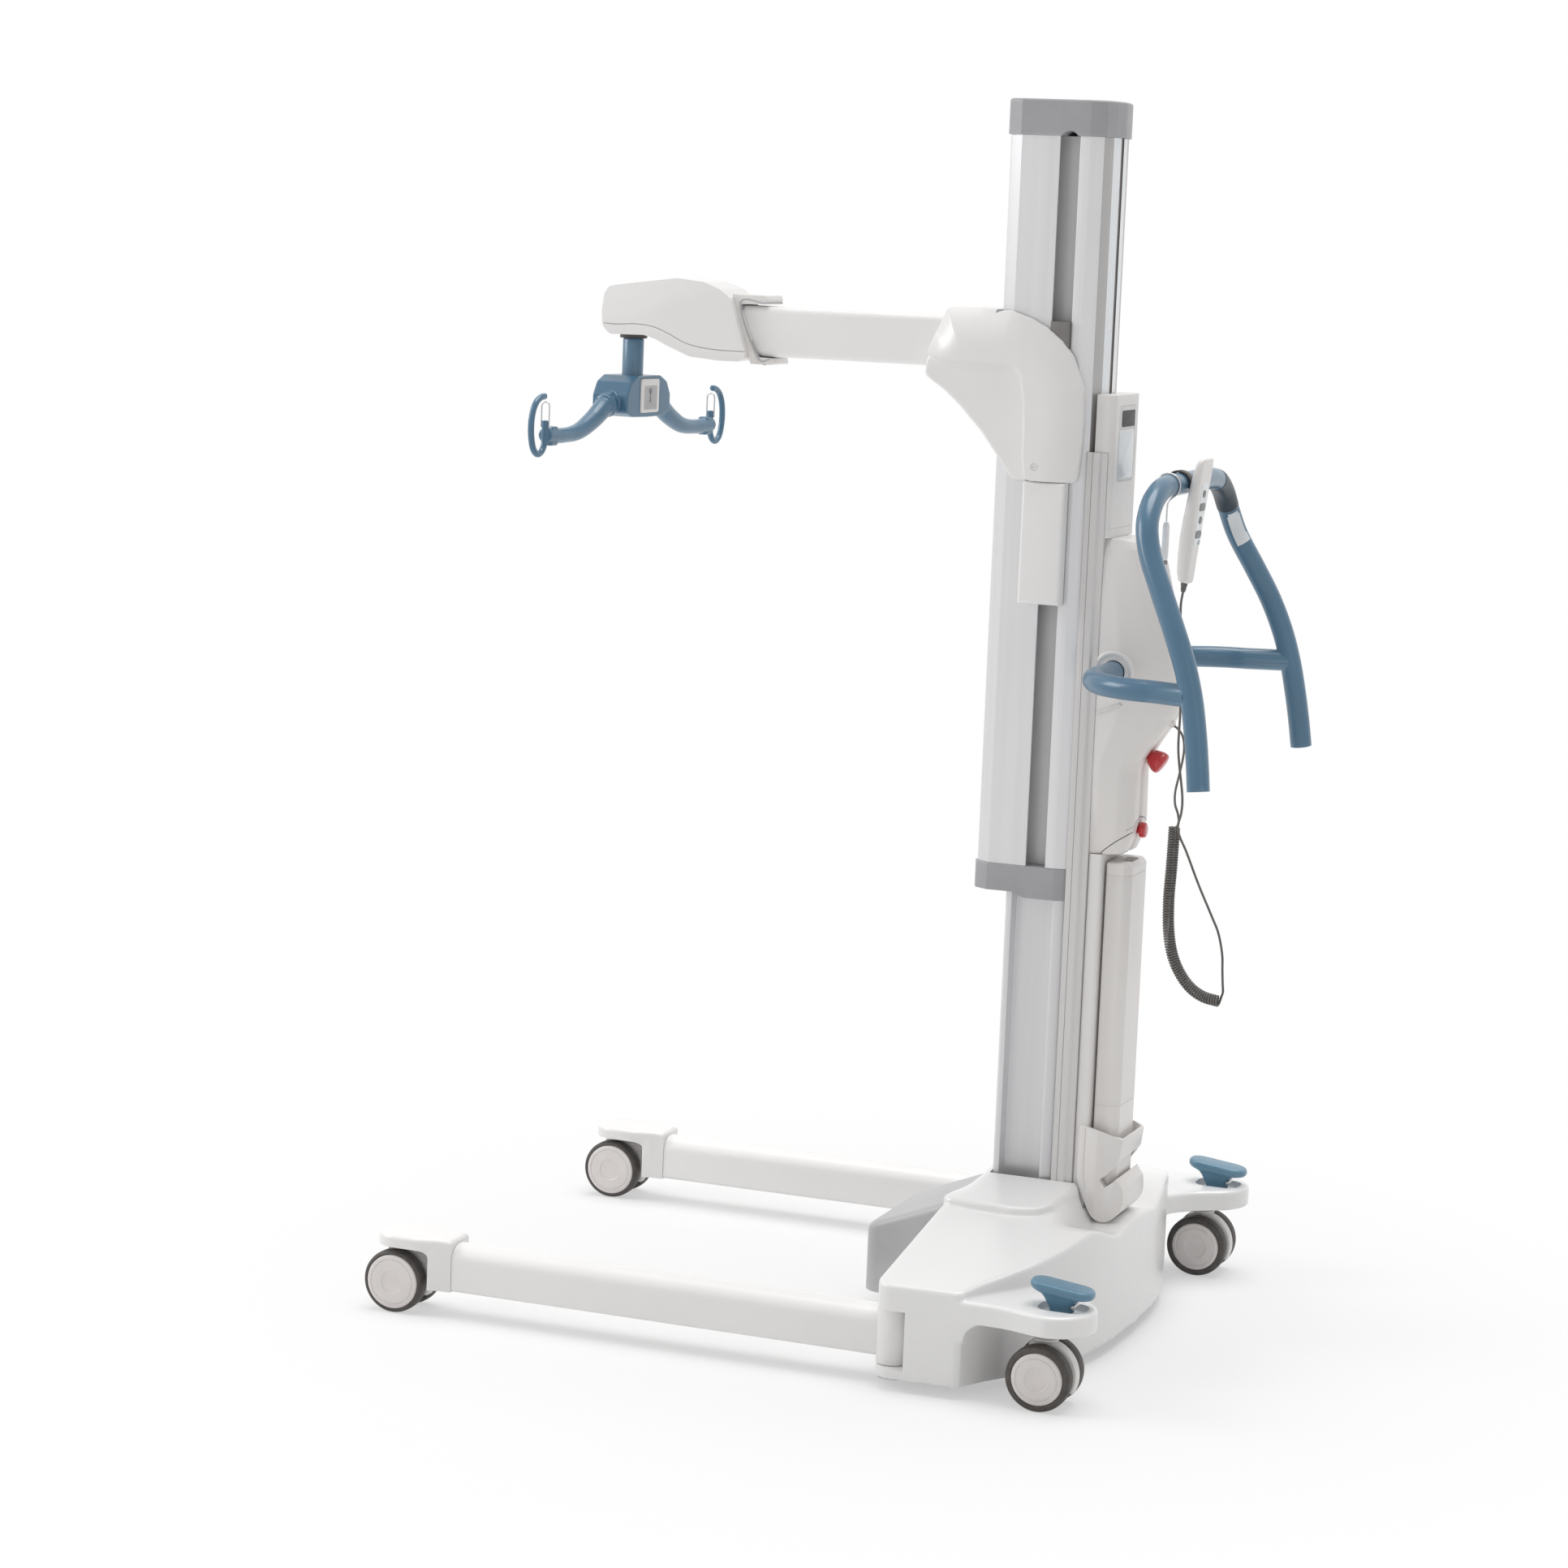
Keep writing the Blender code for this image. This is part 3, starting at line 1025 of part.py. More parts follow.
def handset():
    """The hand control, hooked over the handle's top bar. Its own Z runs up and its buttons face +Y."""
    base = pivot("handset_place", (HANDSET_X, BAR_Y + 0.0255, 1.293), lift, (HANDSET_LEAN, 0, 0))
    rows = ((-0.097, 0.0120, 0.0060), (-0.094, 0.0190, 0.0085), (-0.080, 0.0215, 0.0095), (-0.030, 0.0240, 0.0095),
            (0.030, 0.0290, 0.0095), (0.070, 0.0320, 0.0090), (0.088, 0.0300, 0.0080), (0.093, 0.0240, 0.0060))
    rings = []
    for z, half_x, half_y in rows:
        rings.append([(x, y, z) for x, y in rounded(half_x, half_y, half_y * 0.7, (0.0, 0.0), 2)])
    body = loft(rings)
    relief = lathe([(0, -0.112), (0.0035, -0.112), (0.0060, -0.090), (0, -0.090)], 12)
    body = join(body, relief)
    keys = (("handset_button_top", 0.040, 0.0055, 0.0055), ("handset_rocker_upper", 0.020, 0.0140, 0.0055),
            ("handset_button_low", 0.000, 0.0055, 0.0055), ("handset_rocker_lower", -0.022, 0.0140, 0.0055))
    for name, z, half_x, half_z in keys:
        well = rounded(half_x + 0.0004, half_z + 0.0004, 0.0045, (0.0, z), 2)
        body = cut(body, prism(well, 0.0048, 0.02, "Y"))
        key = prism(rounded(half_x, half_z, 0.0042, (0.0, z), 2), 0.0063, 0.0112, "Y")
        carrier = bpy.data.objects.new(f"{name}_press", None)
        bpy.context.scene.collection.objects.link(carrier)
        carrier.parent = base
        carrier.location = (0.0, 0.0, z)
        bmesh.ops.translate(key, vec=(0, 0, -z), verts=key.verts)
        add(name, key, MID_GREY, carrier, local=True)
    add("handset", body, WHITE, base, local=True)
    ring = arc((BAR_Y, BAR_Z), 0.0208, -20, 230, 12) + arc((BAR_Y, BAR_Z), HANDLE_R + 2 * GAP, 230, -20, 12)
    hook = prism(ring, HANDSET_X - 0.010, HANDSET_X + 0.010, "X")
    add("handset_hook", hook, DARK, lift)


# Cord


LEAD = [(0.010, 0.0280, 0.9700), (0.0105, 0.0340, 0.9660), (0.0130, 0.0420, 0.9570), (0.0190, 0.0475, 0.9430),
        (0.0270, 0.0495, 0.9250), (0.0400, 0.0500, 0.8950), (0.0520, 0.0500, 0.8660), (0.0600, 0.0510, 0.8400),
        (0.0655, 0.0530, 0.8220), (0.0660, 0.0535, 0.8115)]
COIL = [(0.0660, 0.0535, 0.8112), (0.0660, 0.0530, 0.7950), (0.0660, 0.0515, 0.7550), (0.0660, 0.0480, 0.7080),
        (0.0665, 0.0520, 0.6560), (0.0680, 0.0640, 0.6150), (0.0700, 0.0860, 0.5830), (0.0720, 0.1110, 0.5650),
        (0.0740, 0.1390, 0.5622)]
TAIL = [(0.0740, 0.1394, 0.5622), (0.0744, 0.1455, 0.5616), (0.0748, 0.1520, 0.5616),
        (0.0750, 0.1580, 0.5660), (0.0748, 0.1580, 0.5780), (0.0742, 0.1540, 0.5980),
        (0.0738, 0.1460, 0.6250), (0.0735, 0.1380, 0.6600), (0.0735, 0.1280, 0.6950),
        (0.0740, 0.1120, 0.7250), (0.0760, 0.0930, 0.7550), (0.0790, 0.0790, 0.7950),
        (0.0820, 0.0690, 0.8400), (0.0840, 0.0640, 0.8900), (0.0820, 0.0600, 0.9400),
        (0.0760, 0.0560, 1.0000), (0.0680, 0.0500, 1.0600), (0.0590, 0.0430, 1.1200),
        (0.0550, 0.0400, 1.1600), (0.0550, 0.0422, 1.1812)]


def helix(route):
    """A curl round a smooth route, straight for a strand's width at both ends."""
    count = COIL_TURNS * COIL_POINTS
    spine = smooth(route, count + 1)
    points = []
    side = Vector((1, 0, 0))
    for i, here in enumerate(spine):
        ahead = (spine[min(i + 1, count)] - spine[max(i - 1, 0)]).normalized()
        side = (side - ahead * side.dot(ahead)).normalized()
        other = ahead.cross(side)
        from_end = min(i, count - i) / COIL_POINTS
        reach = COIL_R * max(0.0, min(1.0, (from_end - 0.9) / 1.2))
        turn = 2 * math.pi * i / COIL_POINTS
        points.append(here + (side * math.cos(turn) + other * math.sin(turn)) * reach)
    return points


def least_gap(points):
    """The least clear way between one curl and the next."""
    least = (1.0, None)
    for i, here in enumerate(points):
        for there in points[i + COIL_POINTS - 2:i + COIL_POINTS * 2]:
            least = min(least, ((there - here).length, i))
    print("at curl", least[1] / COIL_POINTS, "of", COIL_TURNS)
    return least[0] - 2 * STRAND_R


def cords():
    for name, route, spacing in (("cord_lead", LEAD, 0.0100), ("cord_tail", TAIL, 0.0125)):
        rough = smooth(route, 60)
        length = sum((b - a).length for a, b in zip(rough, rough[1:]))
        points = smooth(route, round(length / spacing))
        piece(name, points, 2)
        print(name, "length", round(length, 4))
    curls = helix(COIL)
    piece("cord_coil", curls, 1)
    print("cord_coil least gap to itself, mm", round(least_gap(curls) * 1000, 2))


def piece(name, points, resolution):
    made = tube_curve(name, points, STRAND_R, resolution)
    made.parent = lift
    made.data.materials.append(finish_material(name, CORD_GREY))


castors()
legs()
base_cover()
chassis()
front_cover()
leg_actuator()
brake_pedal("left", 1)
brake_pedal("right", -1)
columns()
mast()
carriage()
arm()
spreader()
buttons()
status_cover()
handle()
battery()
pocket()
handset()
cords()
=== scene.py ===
# Looks of the patient lift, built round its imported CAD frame. Metres, Z up.
# Shapes are drawn in the lift's own coordinates, whose Y is 0 at the rear castors' swivel axes.

import math

import bpy
from mathutils import Matrix, Vector


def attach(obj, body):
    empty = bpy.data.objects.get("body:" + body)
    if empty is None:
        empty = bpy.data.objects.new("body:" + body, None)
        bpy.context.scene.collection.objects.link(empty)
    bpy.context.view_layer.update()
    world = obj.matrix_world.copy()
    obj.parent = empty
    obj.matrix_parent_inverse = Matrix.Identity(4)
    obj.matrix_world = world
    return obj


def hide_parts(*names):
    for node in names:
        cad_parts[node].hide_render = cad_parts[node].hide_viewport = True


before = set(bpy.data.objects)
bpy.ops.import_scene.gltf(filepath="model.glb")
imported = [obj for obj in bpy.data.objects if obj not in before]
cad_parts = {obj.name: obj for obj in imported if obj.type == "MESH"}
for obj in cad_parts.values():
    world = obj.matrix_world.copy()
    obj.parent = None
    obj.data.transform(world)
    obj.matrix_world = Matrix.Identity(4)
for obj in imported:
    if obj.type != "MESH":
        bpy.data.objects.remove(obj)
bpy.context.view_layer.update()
originY = 0.4715  # from the frame's middle to the rear castors
sides = (("left", 1), ("right", -1))
gap = 0.0003  # between two pieces that stand against each other


# Camera, matched to the photograph's viewing angle

cameraSetup = {
    "place": (5.8763, 2.1291, 1.7343),
    "azimuth": 111.14664,
    "elevation": 8.2456,
    "roll": 2.27009,
    "lens": 91.206,
}


def makeCamera(setup):
    azimuth, elevation, roll = (math.radians(setup[key]) for key in ("azimuth", "elevation", "roll"))
    back = Vector((math.sin(azimuth) * math.cos(elevation), -math.cos(azimuth) * math.cos(elevation),
                   math.sin(elevation)))
    right = (-back).cross(Vector((0, 0, 1))).normalized()
    up = right.cross(-back)
    tiltedRight = right * math.cos(roll) + up * math.sin(roll)
    tiltedUp = up * math.cos(roll) - right * math.sin(roll)
    matrix = Matrix((tiltedRight, tiltedUp, back)).transposed().to_4x4()
    matrix.translation = Vector(setup["place"])
    data = bpy.data.cameras.new("photoCamera")
    data.lens = setup["lens"]
    data.sensor_width = 36
    camera = bpy.data.objects.new("photoCamera", data)
    bpy.context.scene.collection.objects.link(camera)
    camera.matrix_world = matrix
    bpy.context.scene.camera = camera


makeCamera(cameraSetup)
print("camera placed")


# Node materials

def addNode(tree, kind, **sockets):
    node = tree.nodes.new("ShaderNode" + kind)
    for key, value in sockets.items():
        node.inputs[key.replace("_", " ")].default_value = value
    return node


def link(tree, source, output, target, entry):
    tree.links.new(source.outputs[output], target.inputs[entry])


def colourRamp(tree, colours, places=(0.0, 1.0)):
    ramp = addNode(tree, "ValToRGB")
    for element, colour, place in zip(ramp.color_ramp.elements, colours, places):
        element.position = place
        element.color = (*colour, 1)
    return ramp


def combineNodes(tree, operation, first, second):
    # a maths node fed by two outputs
    node = addNode(tree, "Math")
    node.operation = operation
    tree.links.new(first, node.inputs[0])
    tree.links.new(second, node.inputs[1])
    return node.outputs["Value"]


def grainMaterial(name, colour, other, roughness, spread=0.05, metallic=0.0, patches=9.0, grain=900.0,
                  bump=0.02, stretch=(1, 1, 1), coat=0.0, coatRoughness=0.1, wear=None):
    # two near colours in soft patches, a fine grain in the bump and in the roughness, and worn edges
    made = bpy.data.materials.new(name)
    made.use_nodes = True
    tree = made.node_tree
    shader = tree.nodes["Principled BSDF"]
    for key, value in (("Metallic", metallic), ("Coat Weight", coat), ("Coat Roughness", coatRoughness)):
        shader.inputs[key].default_value = value
    place = addNode(tree, "TexCoord")
    mapping = addNode(tree, "Mapping", Scale=stretch)
    soft = addNode(tree, "TexNoise", Scale=patches, Detail=3.0, Roughness=0.55)
    fine = addNode(tree, "TexNoise", Scale=grain, Detail=2.0, Roughness=0.6)
    ramp = colourRamp(tree, (colour, other), (0.35, 0.65))
    link(tree, place, "Object", mapping, "Vector")
    link(tree, mapping, "Vector", soft, "Vector")
    link(tree, mapping, "Vector", fine, "Vector")
    link(tree, soft, "Fac", ramp, "Fac")
    tint = ramp.outputs["Color"]
    if wear:
        geometry = addNode(tree, "NewGeometry")
        edge = addNode(tree, "MapRange", From_Min=0.52, From_Max=0.6)
        link(tree, geometry, "Pointiness", edge, "Value")
        scuff = combineNodes(tree, "MULTIPLY", edge.outputs["Result"], soft.outputs["Fac"])
        mix = addNode(tree, "Mix")
        mix.data_type = "RGBA"
        tree.links.new(scuff, mix.inputs["Factor"])
        tree.links.new(tint, mix.inputs["A"])
        mix.inputs["B"].default_value = (*wear, 1)
        tint = mix.outputs["Result"]
    tree.links.new(tint, shader.inputs["Base Color"])
    rough = addNode(tree, "MapRange", To_Min=roughness - spread, To_Max=roughness + spread)
    relief = addNode(tree, "Bump", Strength=bump, Distance=0.001)
    link(tree, fine, "Fac", rough, "Value")
    link(tree, rough, "Result", shader, "Roughness")
    link(tree, fine, "Fac", relief, "Height")
    link(tree, relief, "Normal", shader, "Normal")
    return made


# Each finish: its slot, two colours, the roughness, and what differs from the plain grain

drawn = {"stretch": (1, 1, 0.02), "patches": 60.0, "grain": 1500.0, "bump": 0.03}

finishSettings = {
    "whiteCoat": ("white", (0.842, 0.829, 0.819), (0.868, 0.855, 0.845), 0.3, dict(
        bump=0.03, patches=4.0, grain=700.0, coat=0.35, coatRoughness=0.26, wear=(0.9, 0.895, 0.89))),
    "whitePlastic": ("white", (0.822, 0.796, 0.776), (0.85, 0.824, 0.804), 0.36, dict(
        bump=0.05, patches=5.0, grain=1400.0, coat=0.12, coatRoughness=0.3, wear=(0.86, 0.85, 0.845))),
    "coverWhite": ("white", (0.84, 0.835, 0.832), (0.868, 0.863, 0.86), 0.3, dict(
        bump=0.04, patches=3.5, grain=1200.0, coat=0.4, coatRoughness=0.2, wear=(0.9, 0.895, 0.89))),
    "greyExtrusion": ("pale_grey", (0.71, 0.71, 0.722), (0.75, 0.75, 0.76), 0.3, dict(metallic=0.35, **drawn)),
    # a darker copy of the extrusion grey, painted into the mast's groove as painted shade
    "paintedGrooveShade": ("pale_grey", (0.59, 0.585, 0.59), (0.63, 0.625, 0.63), 0.42, dict(metallic=0.3, **drawn)),
    # a darker copy of the extrusion grey, painted on the outer part of the mast's rear face as painted shade
    "paintedBandShade": ("pale_grey", (0.455, 0.448, 0.444), (0.485, 0.478, 0.474), 0.36, dict(metallic=0.3, **drawn)),
    # a paler bluish copy of the extrusion grey, painted on the middle of the mast's rear face as painted reflection
    "paintedBandReflection": ("pale_grey", (0.775, 0.8, 0.825), (0.81, 0.835, 0.86), 0.26, dict(metallic=0.35, **drawn)),
    "columnGrey": ("pale_grey", (0.64, 0.625, 0.618), (0.68, 0.665, 0.658), 0.36, dict(metallic=0.2, **drawn)),
    "capGrey": ("mid_grey", (0.345, 0.345, 0.362), (0.385, 0.385, 0.4), 0.4, dict(
        bump=0.08, patches=12.0, grain=1600.0, wear=(0.5, 0.5, 0.52))),
    "coverGrey": ("mid_grey", (0.44, 0.435, 0.445), (0.475, 0.47, 0.48), 0.4, dict(
        bump=0.08, patches=8.0, grain=1600.0, wear=(0.58, 0.58, 0.59))),
    # the dark grey of the slide blocks and tag foot, also painted into the mast's rear slot as painted shade
    "slideGreyAndSlotShade": ("dark", (0.175, 0.165, 0.16), (0.21, 0.2, 0.195), 0.45, dict(
        bump=0.1, patches=40.0, grain=2200.0)),
    "blueCoat": ("blue", (0.06, 0.155, 0.25), (0.068, 0.169, 0.27), 0.3, dict(
        spread=0.04, bump=0.03, patches=10.0, grain=800.0, coat=0.35, coatRoughness=0.15, wear=(0.13, 0.24, 0.34))),
    "deepBlue": ("dark", (0.008, 0.022, 0.04), (0.013, 0.032, 0.054), 0.42, dict(
        spread=0.04, bump=0.04, patches=30.0, grain=1500.0, coat=0.15, coatRoughness=0.25)),
    "bluePlastic": ("blue_plastic", (0.088, 0.205, 0.3), (0.102, 0.23, 0.33), 0.36, dict(
        bump=0.1, patches=20.0, grain=1500.0, coat=0.2, coatRoughness=0.2, wear=(0.17, 0.31, 0.41))),
    "steel": ("steel", (0.5, 0.5, 0.51), (0.58, 0.58, 0.59), 0.28, dict(
        metallic=1.0, spread=0.08, stretch=(1, 1, 0.05), patches=40.0, grain=1800.0, bump=0.04)),
    "redPlastic": ("red", (0.52, 0.006, 0.012), (0.6, 0.01, 0.018), 0.26, dict(
        bump=0.03, patches=60.0, grain=2200.0, coat=0.6, coatRoughness=0.1)),
    "darkPlastic": ("dark", (0.04, 0.036, 0.034), (0.056, 0.051, 0.048), 0.42, dict(
        bump=0.1, patches=40.0, grain=2200.0)),
    "tyre": ("tyre", (0.046, 0.04, 0.036), (0.072, 0.064, 0.058), 0.55, dict(
        spread=0.1, bump=0.2, patches=70.0, grain=1500.0, wear=(0.13, 0.12, 0.11))),
    "wheelDisc": ("shaded_white", (0.745, 0.705, 0.693), (0.785, 0.745, 0.733), 0.36, dict(
        bump=0.06, patches=30.0, grain=1800.0, coat=0.2, coatRoughness=0.2, wear=(0.78, 0.77, 0.76))),
    "jacket": ("cord", (0.105, 0.097, 0.091), (0.14, 0.13, 0.122), 0.45, dict(
        bump=0.12, patches=120.0, grain=3000.0)),
    "display": ("dark", (0.03, 0.032, 0.034), (0.042, 0.044, 0.046), 0.5, dict(
        spread=0.03, bump=0.02, patches=30.0, grain=2500.0)),
    "keyGrey": ("mid_grey", (0.2, 0.21, 0.22), (0.25, 0.26, 0.27), 0.42, dict(
        bump=0.08, patches=80.0, grain=2500.0)),
    "label": ("pale_grey", (0.7, 0.735, 0.765), (0.75, 0.785, 0.81), 0.24, dict(
        bump=0.02, patches=40.0, grain=2500.0, coat=0.6, coatRoughness=0.08)),
}
finishes = {name: grainMaterial(name, *tones, **grain) for name, (_, *tones, grain) in finishSettings.items()}
print("materials made")


# Modelling helpers

def mm(*points):
    # points written in millimetres, as metres
    return [tuple(float(f"{value}e-3") for value in point) for point in points]


def clearSelection():
    if bpy.context.object and bpy.context.object.mode != "OBJECT":
        bpy.ops.object.mode_set(mode="OBJECT")
    bpy.ops.object.select_all(action="DESELECT")


def pick(*objects):
    clearSelection()
    for obj in objects:
        obj.select_set(True)
    bpy.context.view_layer.objects.active = objects[0]


def editing(obj):
    # edit mode with everything selected
    pick(obj)
    bpy.ops.object.mode_set(mode="EDIT")
    bpy.ops.mesh.select_all(action="SELECT")


def closed(doubles=False):
    # out of edit mode, with the faces turned outwards
    bpy.ops.mesh.select_all(action="SELECT")
    if doubles:
        bpy.ops.mesh.remove_doubles(threshold=1e-6)
    bpy.ops.mesh.normals_make_consistent(inside=False)
    bpy.ops.object.mode_set(mode="OBJECT")
    return bpy.context.object


def arcPoints(centre, radius, start, end, count):
    turns = [math.radians(start + (end - start) * i / count) for i in range(count + 1)]
    return [(centre[0] + radius * math.cos(t), centre[1] + radius * math.sin(t)) for t in turns]


def roundedBox(halfU, halfV, radius, centre=(0.0, 0.0), count=6):
    points = []
    for u, v, start in ((1, 1, 0), (-1, 1, 90), (-1, -1, 180), (1, -1, 270)):
        middle = (centre[0] + u * (halfU - radius), centre[1] + v * (halfV - radius))
        points += arcPoints(middle, radius, start, start + 90, count)
    return points


def bothHalves(half):
    return list(half) + [(-x, y) for x, y in reversed(half) if x > 1e-9]


def through(points, count):
    # an even walk along a smooth curve through the given points
    points = [Vector(point) for point in points]
    ends = [2 * points[0] - points[1]] + points + [2 * points[-1] - points[-2]]
    fine = []
    for a, b, c, d in zip(ends, ends[1:], ends[2:], ends[3:]):
        for i in range(24):
            t = i / 24
            fine.append(0.5 * (2 * b + (c - a) * t + (2 * a - 5 * b + 4 * c - d) * t ** 2
                               + (3 * b - a - 3 * c + d) * t ** 3))
    fine.append(ends[-2])
    reached = [0.0]
    for a, b in zip(fine, fine[1:]):
        reached.append(reached[-1] + (b - a).length)
    walked = []
    spot = 0
    for i in range(count):
        wanted = reached[-1] * i / (count - 1)
        while spot < len(fine) - 2 and reached[spot + 1] < wanted:
            spot += 1
        share = (wanted - reached[spot]) / (reached[spot + 1] - reached[spot])
        walked.append(fine[spot].lerp(fine[spot + 1], share))
    return walked


def onAxis(axis, u, v, w):
    return Vector({"X": (w, u, v), "Y": (u, w, v), "Z": (u, v, w)}[axis])


def traceChain(points):
    # one point pushed on from place to place, as a drawn line
    clearSelection()
    bpy.ops.mesh.primitive_plane_add(size=0.001, location=points[0])
    bpy.ops.object.transform_apply()
    bpy.ops.object.mode_set(mode="EDIT")
    bpy.ops.mesh.select_all(action="SELECT")
    bpy.ops.mesh.merge(type="CENTER")
    for here, there in zip(points, points[1:]):
        bpy.ops.mesh.extrude_vertices_move(TRANSFORM_OT_translate={"value": there - here})
    bpy.ops.mesh.select_all(action="SELECT")
    return bpy.context.object


def extrudeOutline(outline, low, high, axis="Z"):
    traceChain([onAxis(axis, u, v, low) for u, v in outline])
    bpy.ops.mesh.edge_face_add()
    bpy.ops.mesh.extrude_region_move(TRANSFORM_OT_translate={"value": onAxis(axis, 0, 0, high - low)})
    return closed()


def turnProfile(profile, steps, axis="Z", centre=(0, 0, 0), ring=False):
    # profile: (radius, height) pairs; a ring's profile closes on itself
    toWorld = {"X": lambda r, h: Vector((h, 0, r)), "Y": lambda r, h: Vector((r, h, 0)),
               "Z": lambda r, h: Vector((r, 0, h))}[axis]
    points = [toWorld(r, h) + Vector(centre) for r, h in profile]
    if ring:
        points.append(points[0].copy())
    traceChain(points)
    bpy.ops.mesh.spin(steps=steps, angle=math.tau, center=centre, axis=onAxis(axis, 0, 0, 1))
    return closed(doubles=True)


def bar(radius, low, high, axis, centre, steps=40):
    return turnProfile([(0, low), (radius, low), (radius, high), (0, high)], steps, axis, onAxis(axis, *centre, 0))


def bridgeRings(rings):
    outlines = []
    for ring in rings:
        outlines.append(traceChain(ring))
        bpy.ops.mesh.edge_face_add()
        bpy.ops.mesh.delete(type="ONLY_FACE")
        bpy.ops.object.mode_set(mode="OBJECT")
    pick(*outlines)
    bpy.ops.object.join()
    editing(bpy.context.object)
    bpy.ops.mesh.bridge_edge_loops()
    bpy.ops.mesh.select_all(action="SELECT")
    bpy.ops.mesh.fill_holes(sides=0)
    return closed()


def sweepTube(points, radius, sides=6, radii=None, solid=True):
    data = bpy.data.curves.new("tube", "CURVE")
    data.dimensions = "3D"
    data.bevel_depth = radius
    data.bevel_resolution = sides
    data.use_fill_caps = True
    spline = data.splines.new("POLY")
    spline.points.add(len(points) - 1)
    for i, point in enumerate(points):
        spline.points[i].co = (*point, 1)
        spline.points[i].radius = radii[i] if radii else 1.0
    obj = bpy.data.objects.new("tube", data)
    bpy.context.scene.collection.objects.link(obj)
    if not solid:
        return obj
    pick(obj)
    bpy.ops.object.convert(target="MESH")
    editing(bpy.context.object)
    return closed(doubles=True)


def applied(obj, kind, **settings):
    pick(obj)
    modifier = obj.modifiers.new(kind.title(), kind)
    for key, value in settings.items():
        setattr(modifier, key, value)
    bpy.ops.object.modifier_apply(modifier=modifier.name)
    return obj


def softenEdges(obj, width, segments=3, angle=32):
    return applied(obj, "BEVEL", width=width, segments=segments, limit_method="ANGLE",
                   angle_limit=math.radians(angle), miter_outer="MITER_ARC", use_clamp_overlap=True)


def selectOnly(obj, kind, test):
    # edit mode with only the edges or faces selected that pass the test
    pick(obj)
    bpy.ops.object.mode_set(mode="EDIT")
    bpy.ops.mesh.select_mode(type=kind)
    bpy.ops.mesh.select_all(action="DESELECT")
    bpy.ops.object.mode_set(mode="OBJECT")
    for item in obj.data.edges if kind == "EDGE" else obj.data.polygons:
        item.select = test(item)
    bpy.ops.object.mode_set(mode="EDIT")


def endEditing(obj):
    bpy.ops.mesh.select_mode(type="VERT")
    bpy.ops.object.mode_set(mode="OBJECT")
    return obj


def bevelWhere(obj, test, width, segments):
    # rounds the edges both of whose ends pass the test
    selectOnly(obj, "EDGE", lambda edge: all(test(obj.data.vertices[i].co) for i in edge.vertices))
    bpy.ops.mesh.bevel(offset=width, segments=segments, affect="EDGES", clamp_overlap=True)
    return endEditing(obj)


def bevelRim(obj, axis, width, segments, both=False):
    # rounds the edges at the high end of an axis, or at both its ends
    i = "XYZ".index(axis)
    spots = [vertex.co[i] for vertex in obj.data.vertices]
    low, high = min(spots), max(spots)
    return bevelWhere(obj, lambda v: v[i] > high - 1e-5 or both and v[i] < low + 1e-5, width, segments)


def sliced(obj, axis, places):
    # edges round the whole mesh at the given places of one axis
    for place in places:
        editing(obj)
        bpy.ops.mesh.bisect(plane_co=Vector(axis) * place, plane_no=axis)
        bpy.ops.object.mode_set(mode="OBJECT")
    return obj


def combine(obj, others, operation):
    for other in others:
        applied(obj, "BOOLEAN", object=other, operation=operation, solver="EXACT")
        bpy.data.objects.remove(other)
    return obj


def cutAway(obj, *others):
    return combine(obj, others, "DIFFERENCE")


def cutPair(obj, *cutters):
    # the same cuts on both sides
    for cutter in cutters:
        cutAway(obj, mirrorOf(cutter), cutter)
    return obj


def fuse(obj, *others):
    return combine(obj, others, "UNION")


def block(low, high):
    corners = [(low[0], low[1]), (high[0], low[1]), (high[0], high[1]), (low[0], high[1])]
    return extrudeOutline(corners, low[2], high[2])


def ribbon(points, width):
    # the outline of a band of this width along a flat line
    points = [Vector(point) for point in points]
    left, right = [], []
    for i, here in enumerate(points):
        ahead = (points[min(i + 1, len(points) - 1)] - points[max(i - 1, 0)]).normalized()
        across = Vector((-ahead.y, ahead.x)) * width / 2
        left.append(tuple(here + across))
        right.append(tuple(here - across))
    return left + right[::-1]


def flatCurve(points, count):
    return [(p.x, p.y) for p in through([(*point, 0) for point in points], count)]


def band(points, count, width, low, high, axis="X"):
    # a solid band along a smooth line, for a lip or to cut a seam
    return extrudeOutline(ribbon(flatCurve(points, count), width), low, high, axis)


def filleted(outline, radius, count=5):
    # an outline with its corners rounded as far as their sides allow
    points = []
    total = len(outline)
    for i, corner in enumerate(outline):
        here = Vector(corner)
        before = Vector(outline[i - 1]) - here
        after = Vector(outline[(i + 1) % total]) - here
        opening = before.angle(after)
        if opening > math.radians(177):
            points.append(tuple(here))
            continue
        reach = min(radius / math.tan(opening / 2), before.length * 0.48, after.length * 0.48)
        start = here + before.normalized() * reach
        end = here + after.normalized() * reach
        for k in range(count + 1):
            t = k / count
            points.append(tuple(start * (1 - t) ** 2 + here * 2 * t * (1 - t) + end * t ** 2))
    return points


def meltTogether(obj, grain, rounds):
    # an even skin over a joined body, relaxed so that its inner corners turn into moulded fillets
    applied(obj, "REMESH", mode="VOXEL", voxel_size=grain)
    return applied(obj, "SMOOTH", factor=0.5, iterations=rounds)


def copyOf(obj):
    twin = obj.copy()
    twin.data = obj.data.copy()
    bpy.context.scene.collection.objects.link(twin)
    return twin


def moved(obj, matrix):
    obj.data.transform(matrix)
    if matrix.determinant() < 0:
        editing(obj)
        bpy.ops.mesh.flip_normals()
        bpy.ops.object.mode_set(mode="OBJECT")
    return obj


def mirrored(obj):
    return moved(obj, Matrix.Scale(-1, 4, (1, 0, 0)))


def mirrorOf(obj):
    return mirrored(copyOf(obj))


